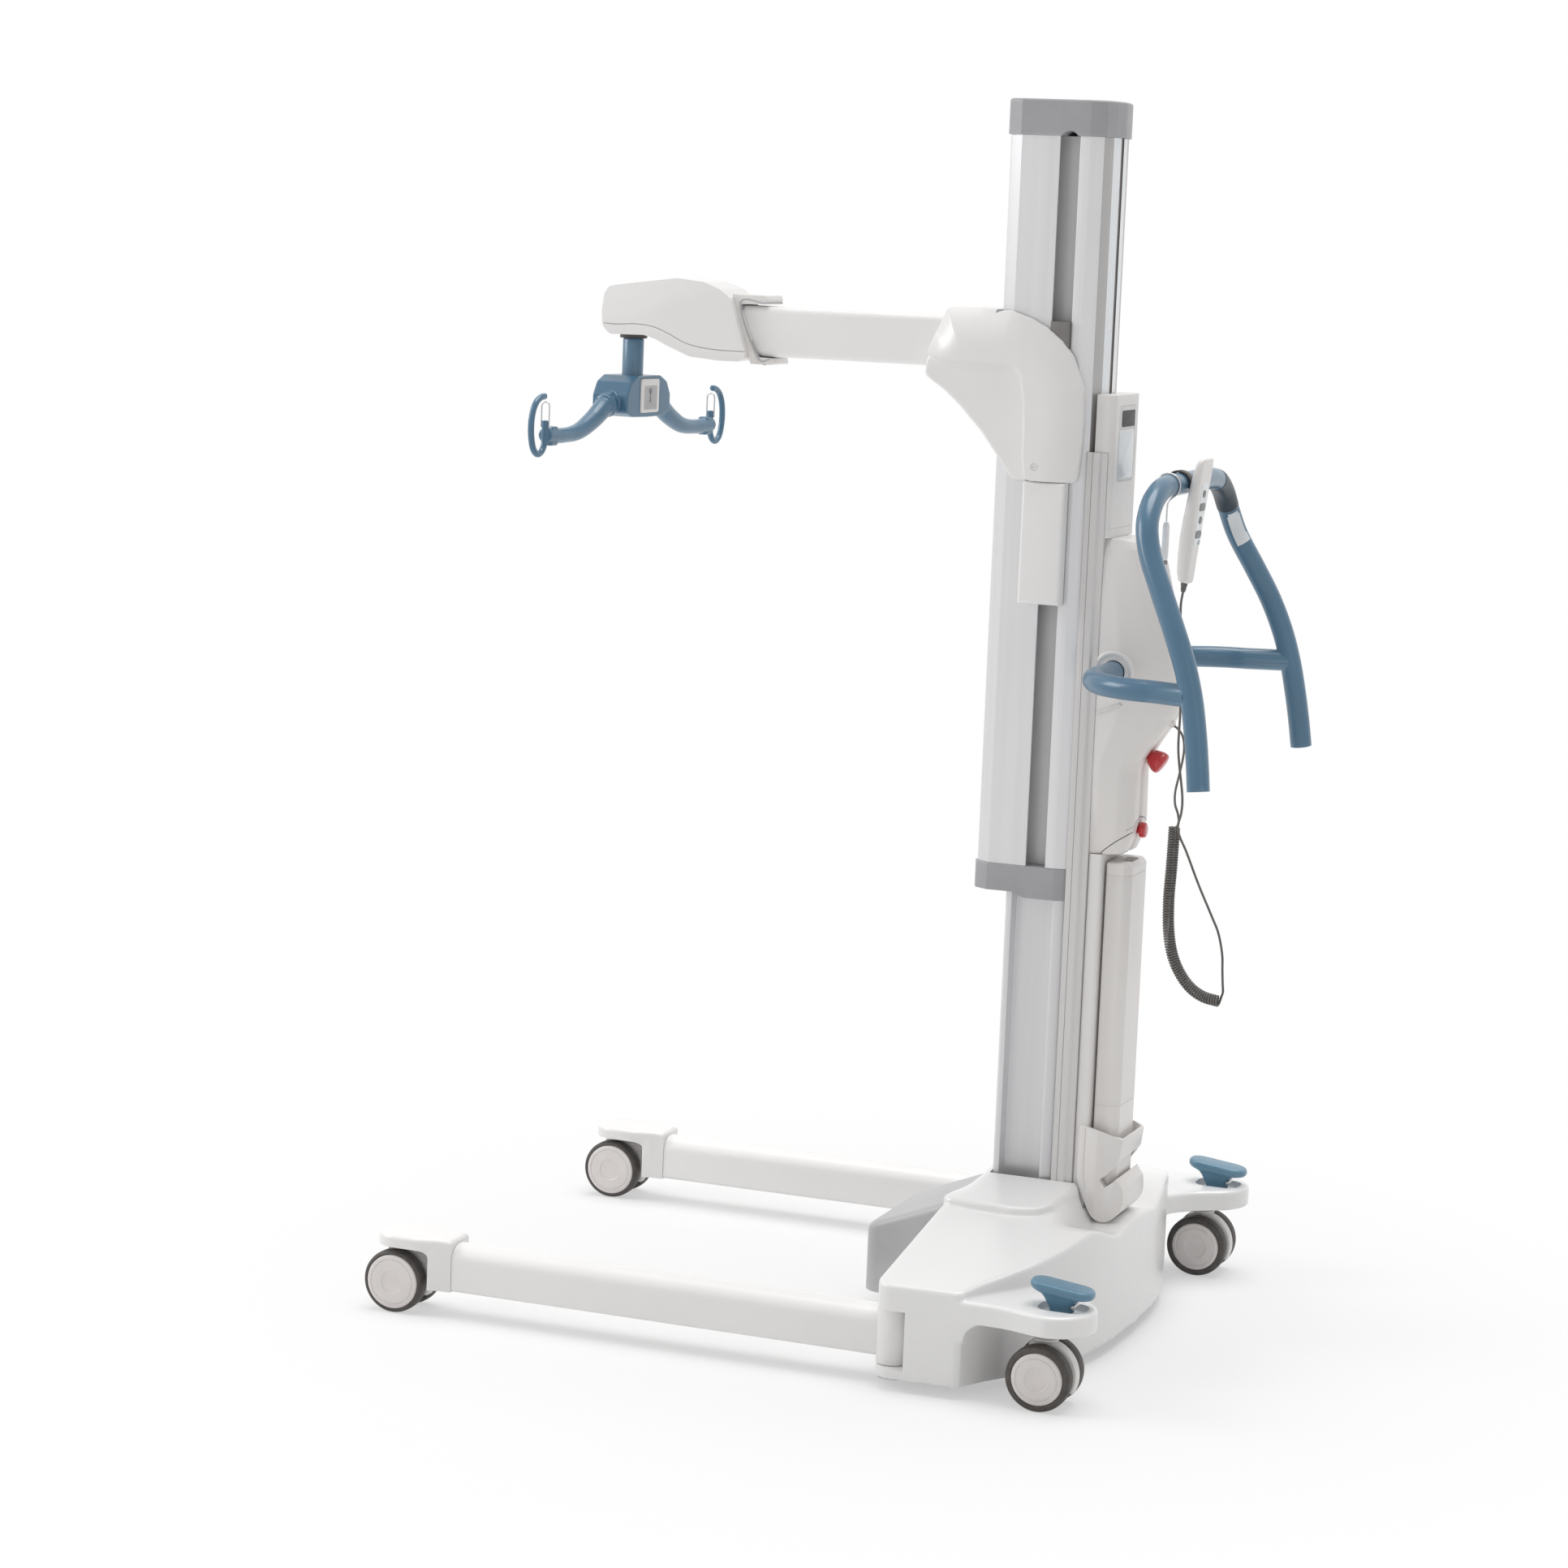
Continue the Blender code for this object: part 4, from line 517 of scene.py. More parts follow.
def shifted(obj, *way):
    return moved(obj, Matrix.Translation(Vector(way)))


def paintFaces(obj, finish, test):
    # a second finish on the faces whose middle passes the test
    obj.data.materials.append(finishes[finish])
    last = len(obj.data.materials) - 1
    for face in obj.data.polygons:
        if test(face.center - Vector((0, originY, 0)), face.normal):
            face.material_index = last


def finishPiece(obj, name, body, finish, *nodes, slot=None, smooth=35, inLift=True):
    obj.name = name
    obj.data.name = name
    if inLift:
        obj.data.transform(Matrix.Translation((0, originY, 0)))
    if obj.type == "MESH":
        pick(obj)
        bpy.ops.object.shade_smooth_by_angle(angle=math.radians(smooth))
    obj.data.materials.clear()
    obj.data.materials.append(finishes[finish])
    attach(obj, body)
    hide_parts(*nodes)


def finishPair(obj, name, body, finish, node, **settings):
    # a piece for each side, the right one mirrored, from a source that is then removed
    for side, sign in sides:
        piece = copyOf(obj) if sign > 0 else mirrorOf(obj)
        finishPiece(piece, name.format(side), body.format(side), finish, node.format(side), **settings)
    bpy.data.objects.remove(obj)


# The handset's cord: a straight lead, a curly stretch and a long tail, as one line

cordShape = {
    "strand": 0.0037, "curlRadius": 0.0074, "pitch": 0.004, "turnIn": 0.0088,
    "lead": mm((10, 28, 970), (10.5, 34, 966), (13, 42, 957), (19, 47.2, 943), (27, 48.8, 925), (40, 47.8, 900),
               (53, 46.5, 875), (65, 50.5, 858), (72, 57.5, 845)),
    "curl": mm((66.5, 52, 822.5), (66.2, 51.5, 795), (66, 50.5, 755), (66, 49, 708), (66.5, 52.5, 656),
               (68, 64, 615), (70, 86, 583), (72, 111, 567), (73.8, 139, 562)),
    "tail": mm((68, 141.5, 590), (70, 140.5, 610), (72, 139.2, 635.2), (73.5, 131.8, 667.2), (74.5, 119.6, 693.6),
               (76, 97.3, 739.2), (77.5, 76.1, 787.3), (79, 64.2, 811.3), (80.2, 61.2, 828), (80.8, 65.5, 848),
               (81.5, 65.5, 876), (82, 56, 941.6), (76, 54, 1000), (68, 49.5, 1060), (59, 43, 1120), (55, 40, 1160),
               (55, 42.2, 1181.2)),
}


def cordLine(shape):
    # the lead bends into the first turn and the tail runs out of the last one, each along the strand
    spine = through(shape["curl"], 1321)
    step = (spine[1] - spine[0]).length
    side, turn, curl = Vector((1, 0, 0)), 0.0, []
    for i in range(1, len(spine) - 1):
        ahead = (spine[i + 1] - spine[i - 1]).normalized()
        side = (side - ahead * side.dot(ahead)).normalized()
        curl.append(spine[i] + (side * math.cos(turn) + ahead.cross(side) * math.sin(turn)) * shape["curlRadius"])
        turn += step * math.tau / shape["pitch"]
    lastTurn = range(len(curl) - 1 - int(shape["pitch"] / step), len(curl))
    last = max(lastTurn, key=lambda i: (curl[i] - curl[i - 1]).normalized().z)
    curl = curl[:last + 1]
    into, out, bend = (curl[1] - curl[0]).normalized(), (curl[-1] - curl[-2]).normalized(), shape["turnIn"]
    centre = curl[0] + Vector((0, 0, bend))
    turnIn = [centre - (into * math.cos(a) + Vector((0, 0, 1)) * math.sin(a)) * bend
              for a in (math.radians(9 * i) for i in range(10))]
    lead = through(shape["lead"] + [turnIn[0] + Vector((0, 0, 0.004)), turnIn[0]], 60)
    tail = through([curl[-1], curl[-1] + out * 0.006, curl[-1] + out * 0.013] + shape["tail"], 190)
    return lead[:-1] + turnIn[:-1] + curl + tail[1:]


def makeCord(shape):
    line = [point + Vector((0, originY, 0)) for point in cordLine(shape)]
    cord = sweepTube(line, shape["strand"] / 2, sides=3, solid=False)
    finishPiece(cord, "handset_cord", "base", "jacket", "cord_lead", "cord_coil", "cord_tail", inLift=False)


makeCord(cordShape)
print("cord made")


# Castors: a treaded tyre and a ringed disc for each wheel, and the swivelling body between them

castorShape = {
    "wheelRadius": 0.05, "apart": 0.0285, "sweep": 0.0515,
    "front": {"hub": 0.0432, "stemTop": 0.119, "y": -1.061, "x": 0.4195},
    "rear": {"hub": 0.0398, "stemTop": 0.138, "y": 0.0, "x": 0.43},
}


def makeTyre(shape, hub):
    outer = shape["wheelRadius"]
    tread = mm((5, -13.8), (2.2, -12.5), (0.7, -9.8), (0.1, -6), (0, 0), (0.1, 6), (0.8, 9.2), (2.4, 11.4),
               (4.4, 12.6))
    profile = [(hub + 0.0002, -0.0118), (hub + 0.001, -0.0136)] + [(outer - r, h) for r,
                                                                   h in tread] + [(hub + 0.0012, 0.0131),
                                                                                  (hub + 0.0003, 0.0123)]
    return turnProfile(profile, 72, "X", ring=True)


def makeDisc(hub):
    edge = hub - 0.0002
    boss = mm((0, 13.3), (17, 13.4), (17.8, 13.6), (18.6, 14.5), (19.6, 14.6))
    rim = mm((9.2, 14.3), (8.4, 13.2), (6.8, 13.1), (6, 14.1), (2.6, 13.9), (0.8, 12.9), (0, 11.6), (0, -11.2),
             (3, -12.8), (8, -11.8))
    back = mm((15, -11.8), (13, -13.8), (6.4, -13.8), (6.4, 3.2), (0, 3.2))
    profile = boss + [(edge - r, h) for r, h in rim] + back
    return turnProfile(profile, 72, "X")


def makeFork(shape, stemTop):
    middle = (0.0, shape["wheelRadius"])
    outline = arcPoints(middle, shape["sweep"], -28, 118, 36) + arcPoints(middle, 0.024, 150, 300, 14)
    web = softenEdges(extrudeOutline(filleted(outline, 0.004), -0.0098, 0.0098, "X"), 0.0022, 3)
    boss = turnProfile([(0, 0.085), (0.0117, 0.085), (0.0117, 0.1012), (0.0178, 0.1014), (0.019, 0.1022),
                        (0.019, 0.1038), (0.0182, 0.1045), (0.008, 0.1045), (0.008, stemTop), (0, stemTop)], 40)
    axle = bar(0.0058, -0.0315, 0.0315, "X", middle, 24)
    return fuse(web, boss, axle)


def makeCastors(shape):
    for place in ("front", "rear"):
        facts = shape[place]
        fork, tyre, disc = makeFork(shape, facts["stemTop"]), makeTyre(shape, facts["hub"]), makeDisc(facts["hub"])
        for side, sign in sides:
            corner = f"{place}_{side}"
            x = sign * facts["x"]
            finishPiece(shifted(copyOf(fork), x, facts["y"], 0), f"castor_body_{corner}", f"fork_{corner}",
                        "whitePlastic", f"castor_fork_{corner}", slot="shaded_white")
            for rank, way in (("outer", sign), ("inner", -sign)):
                turn = Matrix.Rotation(0 if way > 0 else math.pi, 4, "Z")
                spot = Matrix.Translation((x + way * shape["apart"], facts["y"], shape["wheelRadius"]))
                for kind, made, finish in (("tyre", tyre, "tyre"), ("disc", disc, "wheelDisc")):
                    finishPiece(moved(copyOf(made), spot @ turn), f"{kind}_{rank}_{corner}", f"{rank}_wheel_{corner}",
                                finish, f"wheel_{rank}_{corner}")
        for made in (fork, tyre, disc):
            bpy.data.objects.remove(made)


makeCastors(castorShape)
print("castors made")


# Legs and the castings over the front castors

legShape = {
    "x": 0.4195, "front": -0.9644, "rear": -0.238, "half": 0.03, "low": 0.043, "high": 0.117, "crown": 0.024,
    "pivotX": 0.435, "barrelRadius": 0.0245, "barrelLow": 0.0335, "barrelHigh": 0.1235, "pinBore": 0.0123,
    "swivelY": -1.061, "hoodTop": 0.125, "hoodRoof": 0.106, "sweep": 0.0695,
}


def legSection(shape, inset):
    half, crown = shape["half"] - inset, shape["crown"]
    top = [(x * half / crown, z) for x, z in arcPoints((0, shape["high"] - inset - crown), crown, 0, 180, 28)]
    low = shape["low"] + inset
    foot = [(-half, low + 0.006), (-half + 0.006, low), (half - 0.006, low), (half, low + 0.006)]
    return [foot[0]] + filleted(foot, 0.006)[6:18] + [foot[3]] + top


def makeLeg(shape):
    tube = extrudeOutline(legSection(shape, 0), shape["front"], shape["rear"], "Y")
    hollow = extrudeOutline(legSection(shape, 0.0035), shape["front"] - 0.01, shape["rear"] - 0.02, "Y")
    cutAway(tube, hollow)
    radius, low, high = shape["barrelRadius"], shape["barrelLow"], shape["barrelHigh"]
    rim = [(0, low), (radius - 0.002, low), (radius - 0.0006, low + 0.0006), (radius, low + 0.002),
           (radius, high - 0.002), (radius - 0.0006, high - 0.0006), (radius - 0.002, high), (0, high)]
    offset = shape["pivotX"] - shape["x"]
    fuse(tube, turnProfile(rim, 64, "Z", (offset, shape["rear"], 0)))
    cutAway(tube, bar(shape["pinBore"], 0, 0.2, "Z", (offset, shape["rear"]), 48))
    return shifted(tube, shape["x"], 0, 0)


def makeHood(shape):
    middle = shape["swivelY"]
    rear = middle + 0.096
    nose = [(x * 1.16, y) for x, y in arcPoints((0, middle), 0.038, 270, 360, 22)]
    flank = [(0.044, middle + 0.04), (0.0315, rear - 0.022), (0.0315, rear)]
    half = nose + flank
    hood = extrudeOutline(bothHalves(half), shape["low"], shape["hoodTop"])
    bevelRim(hood, "Z", 0.007, 6)
    roof = shape["hoodRoof"]
    arch = turnProfile([(0, 0), (shape["sweep"], 0), (shape["sweep"], roof - 0.012)]
                       + [(shape["sweep"] - 0.012 + x, z) for x, z in arcPoints((0, roof - 0.012), 0.012, 0, 90, 6)]
                       + [(0, roof)], 96, "Z", (0, middle, 0))
    cutAway(hood, arch, bar(0.0083, 0.1, 0.1193, "Z", (0, middle), 24))
    return shifted(softenEdges(hood, 0.0012, 2, 40), shape["x"], 0, 0)


def makeLegs(shape):
    for kind, made in (("leg", makeLeg(shape)), ("leg_hood", makeHood(shape))):
        finishPair(made, kind + "_{}_coated", "{}_leg", "whiteCoat", kind + "_{}")


makeLegs(legShape)
print("legs made")


# Base: one moulded cover with a raised deck and two outriggers

baseShape = {
    "front": -0.256, "low": 0.02, "roofHeight": 0.243, "roofFall": 0.182, "wall": 0.004, "cavityHalf": 0.368,
    "outriggerLow": 0.12, "outriggerHigh": 0.153, "castorX": 0.43,
    "deck": mm((0, -270), (150, -270), (180, -255), (187, -200), (190, -140), (182, -103), (156, -83), (100, -71),
               (0, -66)),
    "deckRise": 0.013, "deckRounding": 0.0075,
    "dip": 0.048, "dipAcross": (0.08, 0.22), "dipAlong": (-0.078, -0.046),
    "fall": 0.036, "fallAcross": (0.02, 0.2), "fallAlong": (-0.262, -0.214),
    "pocket": mm((-74.8, 343.3), (-74.8, 262), (-72.2, 243.5), (-64.5, 225), (-53.8, 203), (-44.5, 193.2),
                 (-34, 188.8), (-23.5, 189.8), (-14.2, 196.2), (-5.5, 207), (-0.6, 219.5), (-0.3, 233.5),
                 (-1.8, 246.5), (-12.5, 259), (-4.5, 324)),
}


def roofHeight(shape, x):
    return shape["roofHeight"] - shape["roofFall"] * (math.sqrt(x * x + 0.0016) - 0.04)


def coverOutline(shape):
    corner = arcPoints((0.452, shape["front"] + 0.025), 0.025, 270, 360, 10)
    flank = flatCurve([(0.477, -0.231), (0.4755, -0.175), (0.4742, -0.127)], 10)
    rear = flatCurve(mm((470, -119), (425, -96), (388, -73), (335, -44), (278, -22), (200, -2), (110, 9), (0, 12)),
                     36)
    return [(0.0, shape["front"])] + corner + flank[1:] + rear


def roofedBlock(shape, outline, low, sink, rounding):
    obj = extrudeOutline(outline, low, 1.0)
    bevelRim(obj, "Z", rounding, 6)
    sliced(obj, (1, 0, 0), [i * 0.02 for i in range(-22, 23)])
    for vertex in obj.data.vertices:
        if vertex.co.z > 0.5:
            vertex.co.z += roofHeight(shape, vertex.co.x) - 1.0 - sink
    applied(obj, "TRIANGULATE")
    return obj


def outrigger(shape):
    disc = arcPoints((shape["castorX"], 0.008), 0.066, 4, 148, 36)
    outer = flatCurve(mm((470, -190), (474.5, -150), (475.5, -112), (476.5, -78), (480, -46), (487.5, -20),
                         (495.5, 8)), 24)
    inner = flatCurve(mm((374, 43), (360, 22), (344, 2), (320, -18), (290, -34)), 14)
    outline = [(0.29, -0.12), (0.44, -0.19)] + outer[:-1] + disc + inner[1:]
    plate = extrudeOutline(outline, shape["outriggerLow"], shape["outriggerHigh"])
    return bevelRim(plate, "Z", 0.006, 4)


def deck(shape):
    # the raised deck under the mast follows the roof's slope, one rounded step above it
    outline = filleted(bothHalves(shape["deck"]), 0.03, 5)
    raised = roofedBlock(shape, outline, 0.15, -shape["deckRise"], shape["deckRounding"])
    return cutAway(raised, block((-0.5, -0.6, 0.1), (0.5, shape["front"] + 0.0005, 0.3)))


def softStep(value, low, high):
    share = max(0.0, min(1.0, (value - low) / (high - low)))
    return share * share * (3 - 2 * share)


def sinkRoof(obj, shape):
    # the roof sinks beside the battery pocket, so that its rounded tab stands clear, and falls to its front edge
    for vertex in obj.data.vertices:
        x, y, z = vertex.co
        if z > 0.15:
            dip = (1 - softStep(abs(x), *shape["dipAcross"])) * softStep(y, *shape["dipAlong"])
            fall = (1 - softStep(abs(x), *shape["fallAcross"])) * (1 - softStep(y, *shape["fallAlong"]))
            vertex.co.z -= (shape["dip"] * dip + shape["fall"] * fall) * min(1.0, (z - 0.15) / 0.05)
    return obj


def armChannel(shape, grow):
    start, end = Vector((0.07, -0.15)), Vector((shape["castorX"], 0.0))
    across = (end - start).normalized()
    across = Vector((-across.y, across.x)) * (0.02 + grow)
    corners = [tuple(start - across), tuple(end - across), tuple(end + across), tuple(start + across)]
    low, high = shape["outriggerLow"] - 0.004, 0.13 + grow
    strip = extrudeOutline(corners, low, high)
    return fuse(strip, bar(0.03 + grow, low, high, "Z", (shape["castorX"], 0.0), 48))


def archFillet(shape):
    # the hollow round that leads from the flank up to the outrigger's underside
    top, radius, wall = shape["outriggerLow"] + 0.002, 0.03, -0.115
    curve = arcPoints((wall + radius, shape["outriggerLow"] - radius), radius, 90, 180, 12)
    outline = [(wall - 0.012, top), (wall + radius, top)] + curve + [(wall - 0.012, curve[-1][1])]
    return extrudeOutline(outline, 0.432, 0.4735, "X")


def makeBase(shape):
    half = coverOutline(shape)
    body = roofedBlock(shape, bothHalves(half), shape["low"], 0.0, 0.0055)
    plate = outrigger(shape)
    arch = archFillet(shape)
    fuse(body, mirrorOf(plate), plate, mirrorOf(arch), arch, deck(shape))
    meltTogether(body, 0.0029, 3)
    sinkRoof(body, shape)
    inner = [(x * 0.99, y * 0.97 - 0.0037) for x, y in half]
    cavity = roofedBlock(shape, bothHalves(inner), shape["low"] - 0.01, shape["wall"], 0.006)
    reach = shape["cavityHalf"]
    combine(cavity, [block((-reach, -1, -1), (reach, 1, 1))], "INTERSECT")
    cutAway(cavity, block((-0.27, -0.1, 0.168), (0.27, 1, 1)), block((-0.215, -1, 0.188), (0.215, -0.212, 1)))
    cutAway(body, cavity, block((-0.0695, -0.2165, 0.15), (0.0695, -0.061, 0.3)))
    cutAway(body, extrudeOutline(shape["pocket"], -0.0668, 0.0668, "X"))
    cutAway(body, block((-0.0453, -0.266, 0.0402), (0.0453, -0.236, 0.0448)))
    cutters = [block((0.383, -0.27, 0.0332), (0.5, -0.206, 0.1238)),
               bar(0.0123, 0.0, 0.1318, "Z", (0.435, -0.238), 48), armChannel(shape, gap),
               bar(0.0083, 0.11, 0.1383, "Z", (shape["castorX"], 0.0), 24),
               softenEdges(extrudeOutline(roundedBox(0.0285, 0.0365, 0.0205, (shape["castorX"], 0.0235), 10), 0.1415,
                                          0.2), 0.0025, 3)]
    cutPair(body, *cutters)
    finishPiece(body, "base_cover_moulded", "base", "coverWhite", "base_cover", smooth=30)


makeBase(baseShape)
print("base cover made")


frontCoverShape = {"front": -0.405, "rear": -0.2563, "half": 0.132, "corner": 0.034, "low": 0.045, "high": 0.15,
                   "climb": 0.06, "wall": 0.0045}


def makeFrontCover(shape):
    front, rear, corner = shape["front"], shape["rear"], shape["corner"]
    half = [(0.0, front)] + arcPoints((shape["half"] - 0.008 - corner, front + corner), corner, 270, 352, 12)
    half += [(shape["half"], rear)]
    cover = extrudeOutline(bothHalves(half), shape["low"], shape["high"])
    bevelRim(cover, "Z", 0.012, 6)
    inner = [(x * 0.962, y + shape["wall"] if y < rear - 1e-4 else y + 0.02) for x, y in half]
    cutAway(cover, extrudeOutline(bothHalves(inner), 0.03, shape["high"] - shape["wall"]))
    cutAway(cover, block((-0.2, rear, 0.0), (0.2, rear + 0.1, 0.3)))
    for vertex in cover.data.vertices:
        if vertex.co.z > 0.12:
            vertex.co.z += shape["climb"] * (vertex.co.y - front) / (rear - front)
    finishPiece(cover, "front_cover_moulded", "base", "coverGrey", "front_cover")


makeFrontCover(frontCoverShape)

pedalShape = {
    "place": (0.43, 0.0215, 0.1465), "pin": (0.02, 0.0105, 0.0034), "tilt": 0.12,
    "rows": mm((0, 11.8, 17.8, 0), (6, 12.4, 19, -0.6), (12, 13.4, 21.5, -1.4), (18, 14.8, 25, -2.4),
               (22.5, 16.4, 29.5, -3), (25.2, 18.6, 36, -2.4), (27.2, 21.2, 42.5, -1), (29.2, 23, 46.5, 0),
               (31.8, 23.8, 48.1, 0), (35, 24, 48.5, 0), (37.6, 23.7, 48.1, 0), (39.4, 22.9, 47.2, 0),
               (40.5, 21.5, 45.6, 0), (41, 19.2, 43, 0)),
}


def makePedals(shape):
    rings = []
    for height, halfX, halfY, back in shape["rows"]:
        lean = shape["tilt"] * min(1, max(0, height - 0.01) / 0.012)
        ring = roundedBox(halfX, halfY, halfX * 0.88, (0.0, back), 8)
        rings.append([Vector((x, y, height - lean * y)) for x, y in ring])
    pad = softenEdges(fuse(bridgeRings(rings), bar(0.0044, -0.0118, 0.0118, "X", (0, 0), 24)), 0.0007, 2, 35)
    y, z, radius = shape["pin"]
    profile = [(0, -0.0125), (radius - 0.0006, -0.0125), (radius, -0.0119), (radius, 0.0119),
               (radius - 0.0006, 0.0125), (0, 0.0125)]
    pin = turnProfile(profile, 28, "X", (0, y, z))
    for side, sign in sides:
        way = (sign * shape["place"][0], *shape["place"][1:])
        for kind, made, finish, smooth in (("pad", pad, "bluePlastic", 40), ("pin", pin, "steel", 35)):
            finishPiece(shifted(copyOf(made), *way), f"pedal_{kind}_{side}", f"{side}_pedal", finish,
                        f"brake_pedal_{side}", smooth=smooth)
    for made in (pad, pin):
        bpy.data.objects.remove(made)


makePedals(pedalShape)
print("pedals made")


# Mast, columns and their caps

mastShape = {
    "outer": mm((0, -269), (44, -269), (59, -263), (70, -243), (70, -182), (66, -182), (66, -199), (42, -199),
                (42, -143), (66, -143), (66, -151), (70, -151), (70, -135), (63, -114), (35, -108), (0, -104)),
    "inner": mm((0, -265), (42.4, -265), (56.5, -259.5), (66, -241.4), (66, -202.5), (38, -202.5), (38, -139.5),
                (66, -139.5), (66, -134.5), (59.5, -117.5), (34, -112), (0, -108)),
    "column": mm((0, -215), (58, -215), (62.5, -211), (62.5, -204), (36, -204), (36, -138), (62.5, -138),
                 (62.5, -134.5), (57, -119), (33, -114), (0, -110.5)),
    "rear": mm((0, -100.5), (35, -104.5), (60.5, -109.5), (64.5, -111.5), (65.5, -116.5), (69, -116.5), (69, -96),
               (66, -93), (66, -83.5), (0, -83.5)),
    "cap": mm((0, -273), (44.6, -273), (61.9, -265.8), (74, -244), (74, -134.3), (66.6, -110.9), (35.3, -104),
              (0, -100)),
    "capLow": mm((0, -272), (44.6, -272), (61.2, -265.1), (73, -243.7), (70, -135), (63, -114), (35, -108),
                 (0, -104)),
    "low": 0.7403, "high": 1.8587, "capHigh": 1.913, "groove": -0.1665, "foot": 0.1303,
}


def profileBar(half, low, high, rounding):
    return extrudeOutline(filleted(bothHalves(half), rounding, 4), low, high)


def makeMast(shape):
    low, high, groove = shape["low"], shape["high"], shape["groove"]
    mast = profileBar(shape["outer"], low, high, 0.0024)
    cutAway(mast, profileBar(shape["inner"], low - 0.01, high + 0.01, 0.0015))
    cutAway(mast, block((-0.007, -0.1065, low - 0.01), (0.007, -0.09, high + 0.01)))
    finishPiece(mast, "mast_profile", "mast", "greyExtrusion", "moving_mast")
    # the groove's faces get painted shade: a darker copy of the extrusion grey
    paintFaces(mast, "paintedGrooveShade", lambda at, way: abs(at.x) < 0.0662 and -0.1995 < at.y < -0.1425)
    # the outer part of the rear face gets painted shade: a darker copy of the extrusion grey
    paintFaces(mast, "paintedBandShade", lambda at, way: way.y > 0.5 and 0.0352 < abs(at.x) < 0.064 and at.y > -0.115)
    # the middle of the rear face gets a painted reflection: a paler bluish copy of the extrusion grey
    paintFaces(mast, "paintedBandReflection", lambda at, way: way.y > 0.5 and 0.007 < abs(at.x) < 0.0352 and at.y > -0.1085)
    # the shallow slot down the middle of the rear face is painted near-black as painted shade
    paintFaces(mast, "slideGreyAndSlotShade", lambda at, way: abs(at.x) < 0.0072 and -0.107 < at.y < -0.103)
    cap = profileBar(shape["cap"], high + gap, shape["capHigh"], 0.0045)
    bevelRim(cap, "Z", 0.0055, 5)
    cutAway(cap, bar(0.0155, -0.1, 0.1, "X", (groove, high - 0.008), 64))
    cutAway(cap, bar(0.0123, high - 0.02, high + 0.0303, "Z", (0, groove), 40))
    sliced(cap, (0, 1, 0), (-0.241, groove - 0.0175, groove + 0.0175, -0.1375))
    sliced(cap, (0, 0, 1), (high + 0.003, high + 0.01, shape["capHigh"] - 0.0085))
    finishPiece(cap, "mast_cap_upper", "mast", "capGrey", "mast_top_cap")
    finishPiece(bar(0.012, 0.9, high + 0.03, "Z", (0, groove), 48), "lift_screw_rod", "mast", "steel", "lift_rod")
    ring = profileBar(shape["capLow"], 0.69, low - gap, 0.004)
    wedge = mm((-300, 680), (-181, 680), (-181, 690), (-190, 692.5), (-204, 698), (-300, 698))
    cutAway(ring, extrudeOutline(wedge, -0.1, 0.1, "X"))
    bevelRim(ring, "Z", 0.0018, 3)
    way = [(x * 1.012, groove + (y - groove) * 1.014) for x, y in shape["column"]]
    cutAway(ring, profileBar(way, 0.6, 0.8, 0.0008))
    softenEdges(ring, 0.0007, 2, 40)
    finishPiece(ring, "mast_cap_lower", "mast", "capGrey", "mast_bottom_cap")
    column = profileBar(shape["column"], shape["foot"], 1.4, 0.0018)
    cutAway(column, bar(0.0135, 0.45, 1.6, "Z", (0, groove), 48))
    finishPiece(column, "column_profile", "base", "greyExtrusion", "fixed_column")
    rear = profileBar(shape["rear"], shape["foot"], 1.385, 0.0016)
    cutAway(rear, extrudeOutline(roundedBox(0.05, 0.0045, 0.002, (0, -0.0925)), 0.1, 1.5))
    seam = block((0.0675, -0.1072, 0.0), (0.08, -0.1062, 2.0))
    cutPair(rear, seam)
    finishPiece(rear, "rear_profile", "base", "columnGrey", "rear_column")
    plate = extrudeOutline(roundedBox(0.062, 0.0105, 0.004, (0, -0.0727)), shape["foot"], 0.7677)
    finishPiece(plate, "battery_backplate", "base", "whitePlastic", "battery_bracket", slot="shaded_white")


makeMast(mastShape)
print("mast made")


# Elbow, arm and head

elbowShape = {
    "outer": mm((-376, 1516), (-245, 1515), (-232, 1511), (-221, 1497), (-213, 1451), (-212, 1377), (-207, 1337),
                (-126, 1336.5), (-122, 1382), (-120, 1431), (-123, 1480), (-142, 1528), (-160, 1551), (-183, 1569),
                (-211, 1583), (-242, 1593), (-301, 1595), (-353, 1594), (-368, 1556)),
    "web": mm((-379, 1489), (-347, 1468), (-320, 1445), (-285, 1409), (-258, 1374), (-230, 1336.5), (-200, 1336.5),
              (-200, 1520), (-220, 1530), (-376, 1522)),
    "half": 0.095, "webHalf": 0.083, "yokeHalf": 0.0725, "yokeFront": -0.2715, "groove": -0.1665,
    "guide": 0.0153,
    "slide": mm((42.5, -198.5), (65.5, -198.5), (65.5, -181.5), (78.2, -181.5), (78.2, -151.5), (65.5, -151.5),
                (65.5, -143.5), (42.5, -143.5)),
    "screw": (-0.1915, 1.359), "pillow": {"reach": 0.06, "rear": 0.0135, "front": 0.034, "along": (-0.3, -0.225)},
    "rim": mm((-372, 1560), (-353, 1594), (-301, 1595), (-242, 1593), (-211, 1583), (-183, 1569), (-160, 1551),
              (-142, 1528), (-123, 1480), (-120, 1431), (-122, 1382), (-126, 1336.5)),
}


def gapTo(line, y, z):
    # how far a spot of the side view lies from a line of points
    spot = Vector((y, z))
    gaps = []
    for a, b in zip(line, line[1:]):
        start, way = Vector(a), Vector(b) - Vector(a)
        share = max(0.0, min(1.0, (spot - start).dot(way) / way.length_squared))
        gaps.append((spot - start - way * share).length)
    return min(gaps)


